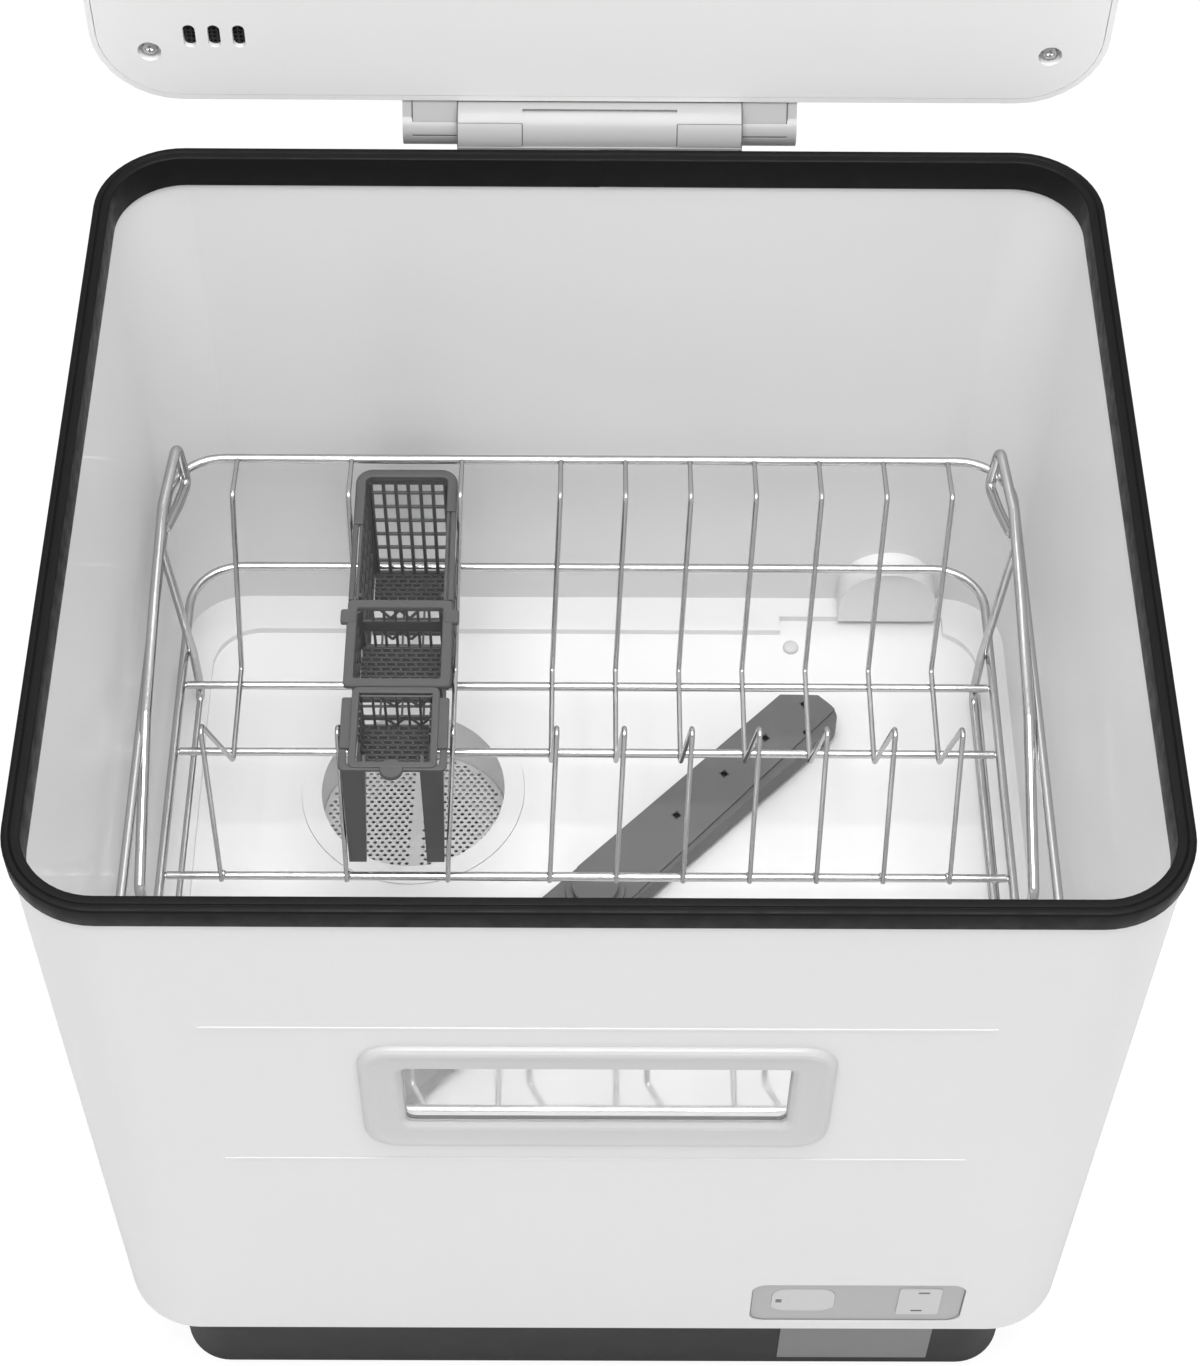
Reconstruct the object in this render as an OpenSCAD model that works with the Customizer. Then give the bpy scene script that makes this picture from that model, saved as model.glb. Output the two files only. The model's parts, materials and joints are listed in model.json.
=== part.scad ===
// Countertop dishwasher: a top loading tub under a lid that opens upwards.
// Millimetres, +X to the right, +Y to the back, +Z up.
// The origin is on the floor, under the middle of the machine with its lid standing open.

/* [Body] */
// Width over the rim seal
rim_w = 430; // [424:1:440]
// Depth over the rim seal
rim_d = 386; // [380:1:396]
// Height of the rim above the floor
body_h = 440; // [434:1:460]
// Corner radius of the rim seal
rim_r = 36; // [32:1:42]
// How far the outer shell lies inside the rim seal, each side
shell_inset = 1.5; // [1.4:0.1:3]
// Wall of the outer shell
shell_wall = 1.8; // [1.5:0.1:2]
// Air gap between the shell and the tub
wall_gap = 0.6; // [0.5:0.1:0.8]
// Height of the shell's lower edge above the floor
shell_z = 76.4; // [74:0.2:80]
// Width of the turned-in flange at the shell's lower edge
shell_flange = 27; // [25:1:29]
// Thickness of that flange
flange_t = 3; // [2.5:0.5:4]
// Length of the two raised lines on the shell's front
line_l = 302; // [280:1:320]
// How far the raised lines stand proud
line_proud = 0.5; // [0.4:0.1:0.8]

/* [Rim seal] */
// Thickness of the seal over the walls
seal_t = 2.6; // [2:0.2:4]
// Height of its outer lip
seal_out_h = 10; // [8:0.5:12]
// Height of its inner lip
seal_in_h = 16; // [12:0.5:18]
// Thickness of its inner lip
seal_lip = 1.2; // [1:0.1:1.6]

/* [Wash tub] */
// Wall of the tub
tub_wall = 1.8; // [1.5:0.1:2]
// Thickness of the tub floor
tub_floor_t = 3; // [2.5:0.5:4]
// Height of the tub floor above the ground
floor_z = 127.5; // [127:0.5:132]
// Height of the raised step round the tub floor
ledge_h = 3.8; // [3:0.2:5]
// Width of that step at the sides
ledge_side = 14.3; // [13:0.1:15]
// Width of that step at the back
ledge_back = 21; // [18:1:24]
// Width of that step at the front
ledge_front = 8; // [6:1:12]

/* [Window] */
// Width of the window's clear opening
window_w = 151; // [140:1:160]
// Height of the window's clear opening
window_h = 44; // [38:1:50]
// Distance of the window's middle below the rim
window_drop = 139; // [137:1:142]
// How much wider than the opening the bezel is, each side
bezel_side = 17; // [14:1:20]
// How far the bezel stands proud of the shell
bezel_proud = 3.2; // [2.6:0.2:4]
// Thickness of the clear pane
pane_t = 2.4; // [2:0.2:2.6]

/* [Controls] */
// Width of the control plate
panel_w = 95; // [90:1:100]
// Height of the control plate
panel_h = 39; // [36:1:40]
// Distance of the control plate's middle from the shell's right side
panel_in = 95.7; // [88:0.1:102]
// Height of the control plate's middle above the shell's lower edge
panel_up = 27.6; // [27:0.1:28.4]
// Width of the start key
key_w = 19; // [16:0.5:21]
// Height of the start key
key_h = 26.5; // [22:0.5:28]
// Travel of the start key
key_travel = 1.2; // [0.8:0.1:1.5]

/* [Base] */
// How far the base lies inside the rim seal, each side
base_inset = 20; // [18:1:22]
// How far the base lies inside the rim seal, front and back
base_inset_y = 15; // [14:1:17]
// Wall of the base
base_wall = 3; // [2.5:0.5:4]
// Height of the rubber feet under the base
foot_h = 6; // [5:1:9]
// Radius of the rubber feet
foot_r = 12; // [10:1:14]

/* [Lid] */
// Thickness of the closed lid
lid_t = 35; // [32:1:40]
// Wall of the lid's cover and liner
lid_wall = 2.5; // [2:0.25:3]
// Gap left between the closed lid and the rim seal
lid_gap = 0.4; // [0.3:0.1:0.8]
// Radius of the cover's outer edge
lid_edge = 8; // [6:1:10]
// Distance of the hinge axis behind the rim
hinge_back = 14; // [14:0.5:16]
// Radius of the lid arms round the hinge axis
barrel_r = 8; // [7.5:0.25:8.5]
// Radius of the hinge's middle block round the axis
block_r = 13; // [12:0.25:13.2]
// Length of the hinge's middle block
block_l = 122.4; // [116:0.4:130]
// Width of each lid arm
arm_w = 23.6; // [21:0.2:26]
// Radius of the hinge pin
pin_r = 3; // [2.5:0.25:3.5]

/* [Spray arm] */
// Length of the spray arm from its axis to its tip
arm_reach = 161; // [150:1:165]
// Half width of the spray arm
arm_half = 17.2; // [16:0.2:19]
// Thickness of the spray arm
spray_t = 12; // [11:0.5:13]
// Radius of the post that the spray arm turns on
post_r = 9; // [8:0.5:10]

/* [Filter] */
// Distance of the filter's middle from the base's left side
filter_in = 105; // [103:1:108]
// Position of the filter's middle, behind the tub's middle
filter_y = 69; // [67:1:71]
// Radius of the filter's perforated plate
mesh_r = 45; // [43:0.5:46]
// Radius of the filter's flat ring
ring_r = 55; // [54:0.5:57]
// Radius of each hole in the plate
mesh_hole = 1.3; // [1.1:0.1:1.4]
// Distance from hole to hole
mesh_pitch = 5.4; // [5:0.1:6]

/* [Dish rack] */
// Thickness of the rack's frame wires
frame_wire = 4.4; // [4:0.2:4.8]
// Thickness of the handle wires
handle_wire = 5; // [4.6:0.2:5.2]
// Thickness of the tines
tine_wire = 2.5; // [2:0.1:2.8]
// Gap between the tub wall and the rack's top loop
rack_gap = 12.3; // [11.5:0.1:13]
// Height of the cross wires above the tub floor
cross_z = 54; // [53:0.5:56]
// Height of the top loop above the tub floor
loop_z = 136.5; // [134:0.5:139]
// Distance from plate tine to plate tine
tine_pitch = 30.7; // [29:0.1:31]
// Height of the bowed tips of the plate tines above the cross wires
tine_rise = 61; // [54:1:63]

/* [Cutlery basket] */
// Width of the basket over its rim
cut_w = 48.4; // [46:0.2:49]
// Distance of the basket's middle from the rack's left side
cut_in = 106.6; // [104:0.2:109]
// Width of the rim flange
cut_flange = 3.2; // [2.8:0.2:3.6]
// Wall of the basket
cut_wall = 1.6; // [1.4:0.1:1.8]
// Depth of the middle tray
mid_depth = 30; // [26:1:34]
// Depth of the front tray
front_depth = 24; // [20:1:28]

/* [Hidden] */

$fn = 48;
fit = 0.1;          // gap round a piece that is set into another
run_fit = 0.05;     // radial gap of a shaft in its bore
weld = 0.05;        // gap left where two wires are welded
cut = 1;            // how far a cutter reaches past the face it opens
corner_steps = 8;   // flats round each corner of the lid cover

// Shell and tub
shell_w = rim_w - 2 * shell_inset;
shell_d = rim_d - 2 * shell_inset;
shell_r = rim_r - shell_inset;
shell_top = body_h - seal_t;
tub_out_w = shell_w - 2 * (shell_wall + wall_gap);
tub_out_d = shell_d - 2 * (shell_wall + wall_gap);
tub_out_r = shell_r - shell_wall - wall_gap;
tub_w = tub_out_w - 2 * tub_wall;
tub_d = tub_out_d - 2 * tub_wall;
tub_r = tub_out_r - tub_wall;
tub_under = floor_z - tub_floor_t;
front_y = -shell_d / 2;
tub_front_y = -tub_d / 2;
tub_back_y = tub_d / 2;

// Base
base_w = rim_w - 2 * base_inset;
base_d = rim_d - 2 * base_inset_y;
base_r = 22;
base_floor = foot_h + base_wall;
panel_x = shell_w / 2 - panel_in;
panel_z = shell_z + panel_up;
window_z = body_h - window_drop;
filter_x = filter_in - base_w / 2;
base_back_y = base_d / 2;
flange_w = shell_w - 2 * shell_flange;
flange_d = shell_d - 2 * (shell_flange - base_inset + base_inset_y);
boss_r = 6;
boss_in = 14;
screw_r = 2;

// Lid and hinge, measured from the hinge axis
axis_y = rim_d / 2 + hinge_back;
axis_z = body_h;
lid_face = lid_gap;
lid_low = hinge_back;
lid_w = rim_w;
lid_h = rim_d;
lid_r = rim_r;
lid_mid_z = lid_low + lid_h / 2;
slot_w = 5.2;
slot_h = 12;
slot_step = 10.4;

// The whole machine is centred front to back with its lid standing open
front_reach = max(rim_d / 2, shell_d / 2 + bezel_proud);
back_reach = axis_y + lid_face + lid_t;
body_y = (front_reach - back_reach) / 2;

// Places inside the base, measured from the middle of the tub
duct_z = 56;
pump_r = 32;
pump_half = 14;
motor_r = 27;
motor_l = 66;
pipe_r = 8;
pipe_wall = 2;
sump_r = 50;
sump_low = 34;
drain_x = 45 - base_w / 2;
drain_r = 22;
drain_in_y = 8;
hose_bend = 20;
inlet_x = base_w / 2 - 45.5;
rear_out = 14;
housing_r = 24.5;
housing_h = 38;
housing_d = 15;
valve_front = base_back_y - 50;
fill_r = 5;
fill_y = tub_back_y - housing_d / 2;
fill_low = base_back_y - 28;
fill_bend = 12;
probe_r = 3.4;
probe_x = inlet_x - 49.1;
probe_y = tub_back_y - 29.7;
notch_x = probe_x - 5.4;
notch_back = 12;
floor_r = 24;
ring_seat = 1.6;
circuit_x = base_w / 2 - 135;
circuit_w = 100;
circuit_y = -130;
circuit_d = 80;
circuit_z = 30;

// Spray arm
spray_z = floor_z + 4.5;
spray_split = spray_z + spray_t / 2;
spray_skin = 1.6;
bevel_skin = 3.2;
spray_angle = 45.8;
hub_r = 16;

// Rack
rack_x = tub_w / 2 - rack_gap;
low_x = rack_x - 4;
rack_back = tub_d / 2 - 20.3;
rack_front = 10 - tub_d / 2;
wire_r = frame_wire / 2;
tine_r = tine_wire / 2;
grip_r = handle_wire / 2;
cross_h = floor_z + cross_z;
loop_h = floor_z + loop_z;
tine_h = cross_h + wire_r + tine_r + weld;
loop_bend = 25;
cross_ys = [rack_back - 73.6, rack_back - 112.7, rack_back - 182.3,
            rack_front + 111.3, rack_front + 37.3];
cut_x = cut_in - rack_x;
bay_x = cut_w / 2 + tine_r + 0.8;
first_tine = low_x - 26;
tine_count = 1 + floor((first_tine - cut_x - bay_x - 30) / tine_pitch);
side_tine = -low_x + 22;
tine_xs = concat([side_tine, cut_x - bay_x, cut_x + bay_x],
                 [for (i = [0:tine_count - 1]) first_tine - i * tine_pitch]);
bowl_pitch = 51.6;
bowl_count = 1 + floor((2 * low_x - 120) / bowl_pitch);
bowl_xs = [for (i = [0:bowl_count - 1]) low_x - 67.2 - i * bowl_pitch];
runner_xs = [for (i = [0:bowl_count]) low_x - 29.1 - i * bowl_pitch];

// Cutlery basket, which stands on the cross wires
cut_low = cross_h + wire_r + fit;
cut_top = floor_z + 132.5;
cup_back = rack_back - 7;
cup_d = 74;
mid_d = 49.2;
front_end = cross_ys[2] - 0.2;
tray_gap = 0.4;
cup_mid = cup_back - cup_d / 2;
mid_mid = cup_back - cup_d - tray_gap - mid_d / 2;
front_back = cup_back - cup_d - mid_d - 2 * tray_gap;
front_d = front_back - front_end;
front_mid = (front_back + front_end) / 2;

// Puts a piece that is drawn round the middle of the tub into its place
module in_body() {
    translate([0, body_y, 0])
        children();
}

// Puts a piece that is drawn round the hinge axis into its place
module at_hinge() {
    translate([0, body_y + axis_y, axis_z])
        children();
}

// A rectangle with true round corners
module round_rect(w, d, r) {
    square([w - 2 * r, d], center = true);
    square([w, d - 2 * r], center = true);
    for (x = [-1, 1], y = [-1, 1])
        translate([x * (w / 2 - r), y * (d / 2 - r)])
            circle(r);
}

// A block with round upright corners, standing on z
module round_block(w, d, z, h, r) {
    translate([0, 0, z])
        linear_extrude(h)
            round_rect(w, d, r);
}

// A block with round corners seen from the front, from y to y + t
module front_block(x, z, w, h, y, t, r) {
    translate([x, y + t, z])
        rotate([90, 0, 0])
            linear_extrude(t)
                round_rect(w, h, r);
}

// A rod along X, centred on x
module rod_x(x, y, z, l, r) {
    translate([x - l / 2, y, z])
        rotate([0, 90, 0])
            cylinder(h = l, r = r);
}

// A rod along Y, from y to y + l
module rod_y(x, y, z, l, r) {
    translate([x, y + l, z])
        rotate([90, 0, 0])
            cylinder(h = l, r = r);
}

// A rod along Z, from z to z + l
module rod_z(x, y, z, l, r) {
    translate([x, y, z])
        cylinder(h = l, r = r);
}

// Four places at the corners of a rectangle
function corners(x, y) = [for (i = [-1, 1], j = [-1, 1]) [i * x, j * y]];

/* Wires: a path of points with rounded bends, swept by a round section. */
wire_sides = 10;
bend_steps = 4;

function unit(v) = v / norm(v);

// The stretch of path round point i, from one tangent point to the next
function bend(p, i, r) =
    let (a = unit(p[i] - p[i - 1]), b = unit(p[i + 1] - p[i]),
         turn = acos(max(-1, min(1, a * b))), t = r * tan(turn / 2),
         from = p[i] - a * t, to = p[i] + b * t)
    [for (k = [0:bend_steps]) let (s = k / bend_steps)
        (1 - s) * (1 - s) * from + 2 * s * (1 - s) * p[i] + s * s * to];

function rounded(p, r) = concat([p[0]],
    [for (i = [1:len(p) - 2]) each bend(p, i, r)], [p[len(p) - 1]]);

// The direction of the path at point i
function heading(p, i) =
    unit((i < len(p) - 1 ? unit(p[i + 1] - p[i]) : [0, 0, 0])
         + (i > 0 ? unit(p[i] - p[i - 1]) : [0, 0, 0]));

// One ring of the section, kept upright by the X axis
function ring(c, t, r) =
    let (n = unit([1, 0, 0] - t[0] * t), b = cross(t, n))
    [for (k = [0:wire_sides - 1]) let (a = 360 * k / wire_sides)
        c + r * (cos(a) * n + sin(a) * b)];

module wire(points, r, bend_r) {
    path = rounded(points, bend_r);
    skin([for (i = [0:len(path) - 1]) ring(path[i], heading(path, i), r)]);
}

// A closed form with a skin drawn from each ring of points to the next
module skin(rings) {
    n = len(rings[0]);
    last = len(rings) - 1;
    sides = [for (i = [0:last - 1], k = [0:n - 1])
        let (a = i * n + k, b = i * n + (k + 1) % n)
        each [[a, a + n, b], [b, a + n, b + n]]];
    near = [[for (k = [0:n - 1]) k]];
    far = [[for (k = [n - 1:-1:0]) last * n + k]];
    polyhedron([for (r = rings) each r], concat(sides, near, far));
}

// A closed loop of round wire in a level plane: straight runs and true bends
module level_loop(half_w, front, back, z, r, bend_r) {
    mid = (front + back) / 2;
    half_d = (back - front) / 2;
    run_x = 2 * (half_w - bend_r);
    run_y = 2 * (half_d - bend_r);
    for (y = [-1, 1])
        rod_x(0, mid + y * half_d, z, run_x, r);
    for (x = [-1, 1])
        rod_y(x * half_w, mid - run_y / 2, z, run_y, r);
    for (k = [0:3])
        translate([(k == 0 || k == 3 ? 1 : -1) * run_x / 2,
                   mid + (k < 2 ? 1 : -1) * run_y / 2, z])
            quarter_bend(90 * k, bend_r, r);
}

/* Cabinet */

module outer_shell() {
    color("white")
        in_body()
            difference() {
                union() {
                    difference() {
                        round_block(shell_w, shell_d, shell_z, shell_top - shell_z, shell_r);
                        round_block(shell_w - 2 * shell_wall, shell_d - 2 * shell_wall,
                                    shell_z + flange_t, body_h, shell_r - shell_wall);
                        round_block(flange_w, flange_d, shell_z - cut, flange_t + 2 * cut, base_r);
                    }
                    for (z = [body_h - 85.4, body_h - 193.4])
                        translate([-line_l / 2, front_y - line_proud, z - 0.7])
                            cube([line_l, line_proud + shell_wall / 2, 1.4]);
                    for (p = corners(base_w / 2 - boss_in, base_d / 2 - boss_in))
                        rod_z(p[0], p[1], shell_z + flange_t / 2, 14, boss_r);
                }
                window_cutter();
                front_block(panel_x, panel_z, panel_w + 2 * fit, panel_h + 2 * fit,
                            front_y - cut, shell_wall + 2 * cut, 7);
                for (p = corners(base_w / 2 - boss_in, base_d / 2 - boss_in))
                    rod_z(p[0], p[1], shell_z - cut, 12, screw_r + run_fit);
                for (x = hinge_screw_xs)
                    rod_y(x, shell_d / 2 - shell_wall - cut, foot_plate_z, shell_wall + 2 * cut,
                          screw_r + run_fit);
            }
}

// The hole for the window's neck, through the shell and the tub
neck_w = window_w + 9;
neck_h = window_h + 9;
module window_cutter() {
    front_block(0, window_z, neck_w + 2 * fit, neck_h + 2 * fit, front_y - cut,
                tub_front_y - front_y + 2 * cut, 6);
}

module wash_tub() {
    color("whitesmoke")
        in_body()
            difference() {
                round_block(tub_out_w, tub_out_d, tub_under, shell_top - tub_under, tub_out_r);
                round_block(tub_w, tub_d, floor_z + ledge_h, body_h, tub_r);
                translate([0, (ledge_front - ledge_back) / 2, 0])
                    round_block(tub_w - 2 * ledge_side, tub_d - ledge_back - ledge_front,
                                floor_z, ledge_h + cut, floor_r);
                translate([notch_x, 0, floor_z])
                    cube([tub_w / 2 - tub_r - notch_x, tub_back_y - notch_back,
                          ledge_h + cut]);
                window_cutter();
                rod_z(filter_x, filter_y, tub_under - cut, tub_floor_t + 2 * cut, sump_r + fit);
                rod_z(filter_x, filter_y, floor_z - ring_seat, 2 * ledge_h, ring_r + 2 * fit);
                rod_z(0, 0, tub_under - cut, tub_floor_t + 2 * cut, post_r + run_fit);
                rod_z(probe_x, probe_y, tub_under - cut, tub_floor_t + 2 * cut, probe_r + run_fit);
                rod_z(inlet_x, fill_y, tub_under - cut, tub_floor_t + ledge_h + 2 * cut,
                      fill_r + run_fit);
            }
}

seal_fit = 0.15;
module rim_seal() {
    lip_w = tub_w - 2 * (seal_lip + seal_fit);
    lip_d = tub_d - 2 * (seal_lip + seal_fit);
    lip_r = tub_r - seal_lip - seal_fit;
    color([0.2, 0.2, 0.2])
        in_body()
            difference() {
                union() {
                    round_block(rim_w, rim_d, body_h - seal_out_h, seal_out_h, rim_r);
                    round_block(lip_w + 2 * seal_lip, lip_d + 2 * seal_lip,
                                body_h - seal_in_h, seal_in_h, lip_r + seal_lip);
                }
                round_block(lip_w, lip_d, body_h - 2 * seal_in_h, 3 * seal_in_h, lip_r);
                difference() {
                    round_block(shell_w + 2 * seal_fit, shell_d + 2 * seal_fit,
                                body_h - 2 * seal_in_h, 2 * seal_in_h - seal_t + fit,
                                shell_r + seal_fit);
                    round_block(lip_w + 2 * seal_lip, lip_d + 2 * seal_lip,
                                body_h - 3 * seal_in_h, 4 * seal_in_h, lip_r + seal_lip);
                }
                difference() {
                    round_block(rim_w - 6.4, rim_d - 6.4, body_h - 0.6, 2, rim_r - 3.2);
                    round_block(rim_w - 8, rim_d - 8, body_h - 1.6, 4, rim_r - 4);
                }
            }
}

module base_pan() {
    color([0.2, 0.2, 0.2])
        in_body()
            difference() {
                union() {
                    difference() {
                        round_block(base_w, base_d, foot_h, shell_z - foot_h, base_r);
                        round_block(base_w - 2 * base_wall, base_d - 2 * base_wall, base_floor,
                                    body_h, base_r - base_wall);
                    }
                    for (p = corners(base_w / 2 - boss_in, base_d / 2 - boss_in))
                        rod_z(p[0], p[1], foot_h, shell_z - foot_h, boss_r);
                    for (p = stand_places)
                        rod_z(p[0], p[1], foot_h, p[2] - foot_h, 5);
                }
                for (p = corners(base_w / 2 - boss_in, base_d / 2 - boss_in)) {
                    rod_z(p[0], p[1], foot_h - cut, shell_z, screw_r + run_fit);
                    rod_z(p[0], p[1], foot_h - cut, 4 + cut, 2 * screw_r + fit);
                }
                for (p = foot_places)
                    rod_z(p[0], p[1], foot_h - cut, base_wall + 2 * cut, foot_stem + run_fit);
                for (x = [drain_x, inlet_x])
                    rod_y(x, base_back_y - base_wall - cut, duct_z, base_wall + 2 * cut,
                          pipe_r + 1 + neck_more + fit);
                rod_y(gland_x, base_back_y - base_wall - cut, duct_z, base_wall + 2 * cut,
                      gland_r + run_fit);
            }
}

foot_places = corners(base_w / 2 - 30, base_d / 2 - 30);
foot_stem = 4;
gland_x = 0;
gland_r = 8;
// Pillars on the base floor: place and height of each top
stand_places = concat([for (x = [30, 58]) [x, filter_y, duct_z - motor_r]],
    [[filter_x, drain_in_y - 54, duct_z - 18 - fit], [inlet_x, fill_low, duct_z - 16]],
    [for (x = [10, circuit_w - 10], y = [10, circuit_d - 10])
        [circuit_x + x, circuit_y + y, circuit_z]]);

module rubber_feet() {
    color([0.15, 0.15, 0.15])
        in_body()
            for (p = foot_places) {
                rod_z(p[0], p[1], 0, foot_h, foot_r);
                rod_z(p[0], p[1], foot_h, base_wall, foot_stem);
            }
}

module base_screws() {
    color("silver")
        in_body()
            for (p = corners(base_w / 2 - boss_in, base_d / 2 - boss_in)) {
                rod_z(p[0], p[1], foot_h + 1, 3, 2 * screw_r);
                rod_z(p[0], p[1], foot_h + 2, shell_z - foot_h + 6, screw_r);
            }
}

/* Window */

bezel_w = window_w + 2 * bezel_side;
bezel_h = window_h + 2 * bezel_side + 1;
wall_depth = tub_front_y - front_y;
module window_bezel() {
    color("white")
        in_body()
            difference() {
                union() {
                    front_block(0, window_z, bezel_w - 5, bezel_h - 5, front_y - bezel_proud,
                                bezel_proud, 11.5);
                    front_block(0, window_z, bezel_w, bezel_h, front_y - bezel_proud + 1.4,
                                bezel_proud - 1.4, 14);
                    front_block(0, window_z, neck_w, neck_h, front_y - cut, wall_depth + cut, 5.9);
                }
                front_block(0, window_z, window_w, window_h, front_y - 2 * bezel_proud,
                            4 * bezel_proud, 4);
                front_block(0, window_z, window_w + 4, window_h + 4, front_y,
                            wall_depth + cut, 5);
            }
}

module window_pane() {
    color([0.85, 0.9, 0.92, 0.35])
        in_body()
            front_block(0, window_z, window_w + 3.8, window_h + 3.8, front_y + fit, pane_t, 4.9);
}

module window_gasket() {
    color([0.2, 0.2, 0.2])
        in_body()
            difference() {
                front_block(0, window_z, window_w + 3.8, window_h + 3.8, front_y + fit + pane_t,
                            wall_depth - pane_t - fit, 4.9);
                front_block(0, window_z, window_w, window_h, front_y, 3 * wall_depth, 4);
            }
}

module window_retainer() {
    color("whitesmoke")
        in_body()
            difference() {
                front_block(0, window_z, neck_w + 10, neck_h + 10, tub_front_y, 1.6, 9);
                front_block(0, window_z, window_w, window_h, tub_front_y - cut, 4, 4);
            }
}

/* Controls */

panel_y = front_y + 1;
panel_r = 6.9;
lens_x = panel_x - panel_w / 2 + 23.2;
lens_w = 28.4;
lens_h = 22.8;
key_x = panel_x + panel_w / 2 - 19.7;
board_y = panel_y + 18;
module control_plate() {
    color("silver")
        in_body()
            difference() {
                union() {
                    front_block(panel_x, panel_z, panel_w, panel_h, panel_y, shell_wall - 1, panel_r);
                    front_block(panel_x, panel_z, panel_w + 10, panel_h - 2, front_y + shell_wall,
                                1.8, panel_r);
                    for (x = [-1, 1], z = [-1, 1])
                        rod_y(panel_x + x * (panel_w / 2 - 5), front_y + shell_wall + 1,
                              panel_z + z * (panel_h / 2 - 5), board_y - front_y - shell_wall - 1,
                              2.5);
                }
                front_block(lens_x, panel_z + 2, lens_w, lens_h, panel_y - cut, 1.2 + cut, 7);
                front_block(key_x, panel_z + 1, key_w + 2 * run_fit, key_h + 2 * run_fit,
                            panel_y - cut, 6, 1.5);
            }
}

module display_lens() {
    color("gainsboro")
        in_body()
            front_block(lens_x, panel_z + 2, lens_w - 2 * fit, lens_h - 2 * fit,
                        panel_y - 0.2, 1.3, 6.9);
}

module control_board() {
    color("darkgreen")
        in_body() {
            front_block(panel_x, panel_z, panel_w - 2, panel_h - 3, board_y, 1.6, 2);
            rod_y(key_x, board_y - 4, panel_z + 1, 4, 3);
        }
}

key_back = front_y + shell_wall + 1.8 + fit;
module start_key() {
    color("gainsboro")
        in_body() {
            front_block(key_x, panel_z + 1, key_w, key_h, panel_y - 0.6, key_back - panel_y + 1.2, 1.4);
            front_block(key_x, panel_z + 1, key_w + 3, key_h + 3, key_back, 1, 2);
            rod_y(key_x, key_back + 0.5, panel_z + 1, board_y - 4 - key_travel - 0.3 - key_back - 0.5,
                  2.5);
        }
}

module blank_plate() {
    color("darkgray")
        in_body()
            front_block(base_w / 2 - 72, shell_z - 42.7, 71, 42.6, -base_d / 2 - 0.5, 0.5, 0.6);
}

/* Hinge */

foot_plate_z = body_h - seal_out_h - 12;
hinge_screw_xs = [-48, -16, 16, 48];
rim_back = rim_d / 2 - axis_y;
shell_back = shell_d / 2 - axis_y;
cover_w = 27.6;
cover_in = block_r - 1.2;
cover_seam = 0.4;
cover_low = 0.5;
slot_l = 66.6;
slot_turn = 72;

// The side profile of the part of the block that stands above the rim
module block_profile() {
    intersection() {
        circle(block_r);
        translate([-block_r, 0])
            square([block_r + barrel_r, block_r]);
    }
}

// A curved strip on the front of the block, from the rim up to 45 degrees, or its seat with a gap all round
module cover_strip(x, l, r_out, gap) {
    translate([x - l / 2, 0, 0])
        rotate([90, 0, 90])
            linear_extrude(l)
                intersection() {
                    difference() {
                        circle(r_out);
                        circle(cover_in - gap);
                    }
                    translate([3 * gap, cover_low - gap])
                        polygon([[0, 0], [-2 * block_r, 0], [-2 * block_r, 2 * block_r]]);
                }
}

module hinge_block() {
    color("lightgray")
        at_hinge()
            difference() {
                union() {
                    translate([-block_l / 2, 0, 0])
                        rotate([90, 0, 90])
                            linear_extrude(block_l)
                                block_profile();
                    translate([-block_l / 2, rim_back + 0.3, -30])
                        cube([block_l, -rim_back - 0.3 + barrel_r, 30]);
                    translate([-block_l / 2, shell_back + 0.02, -30])
                        cube([block_l, 6, 30 - seal_out_h - 0.4]);
                    translate([-block_l / 2, barrel_r - 2.5, 0])
                        cube([block_l, 2.5, lid_low - lid_gap]);
                }
                rod_x(0, 0, 0, block_l + 2 * cut, pin_r + run_fit);
                rotate([-slot_turn, 0, 0])
                    translate([-slot_l / 2, -block_r - cut, -0.9])
                        cube([slot_l, 1.5 + cut, 1.8]);
                for (x = [-1, 1])
                    cover_strip(x * (block_l / 2 - (cover_w - cover_seam) / 2),
                                cover_w + cover_seam + 2 * fit, 2 * block_r, fit);
                for (x = hinge_screw_xs) {
                    rod_y(x, shell_back - cut, foot_plate_z - axis_z, 20 + 2 * cut,
                          screw_r + run_fit);
                    rod_y(x, shell_back + 10, foot_plate_z - axis_z, 30, 2 * screw_r + fit);
                }
            }
}

module hinge_covers() {
    color("gainsboro")
        at_hinge()
            for (x = [-1, 1])
                cover_strip(x * (block_l / 2 - cover_w / 2), cover_w, block_r + 0.3, 0);
}

module hinge_pin() {
    color("silver")
        at_hinge()
            rod_x(0, 0, 0, block_l + 2 * arm_w - 4, pin_r);
}

module hinge_screws() {
    color("silver")
        at_hinge()
            for (x = hinge_screw_xs) {
                rod_y(x, shell_back - shell_wall, foot_plate_z - axis_z, 11, screw_r);
                rod_y(x, shell_back + 10 + run_fit, foot_plate_z - axis_z, 3, 2 * screw_r);
            }
}

/* Lid, drawn standing open */

// The lid's outline seen from the front, drawn from y to y + t
module lid_plate(inset, y, t, r) {
    front_block(0, lid_mid_z, lid_w - 2 * inset, lid_h - 2 * inset, y, t, r);
}

// The lid's outline drawn in by a given inset, at depth y
function lid_ring(inset, y) = let (r = max(0.5, lid_r - inset))
    [for (q = [0:3], k = [0:corner_steps]) let (a = 90 * (q + k / corner_steps),
         x = (q == 0 || q == 3 ? 1 : -1) * (lid_w / 2 - inset - r) + r * cos(a),
         z = (q < 2 ? 1 : -1) * (lid_h / 2 - inset - r) + r * sin(a))
        [x, y, lid_mid_z - z]];

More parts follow.
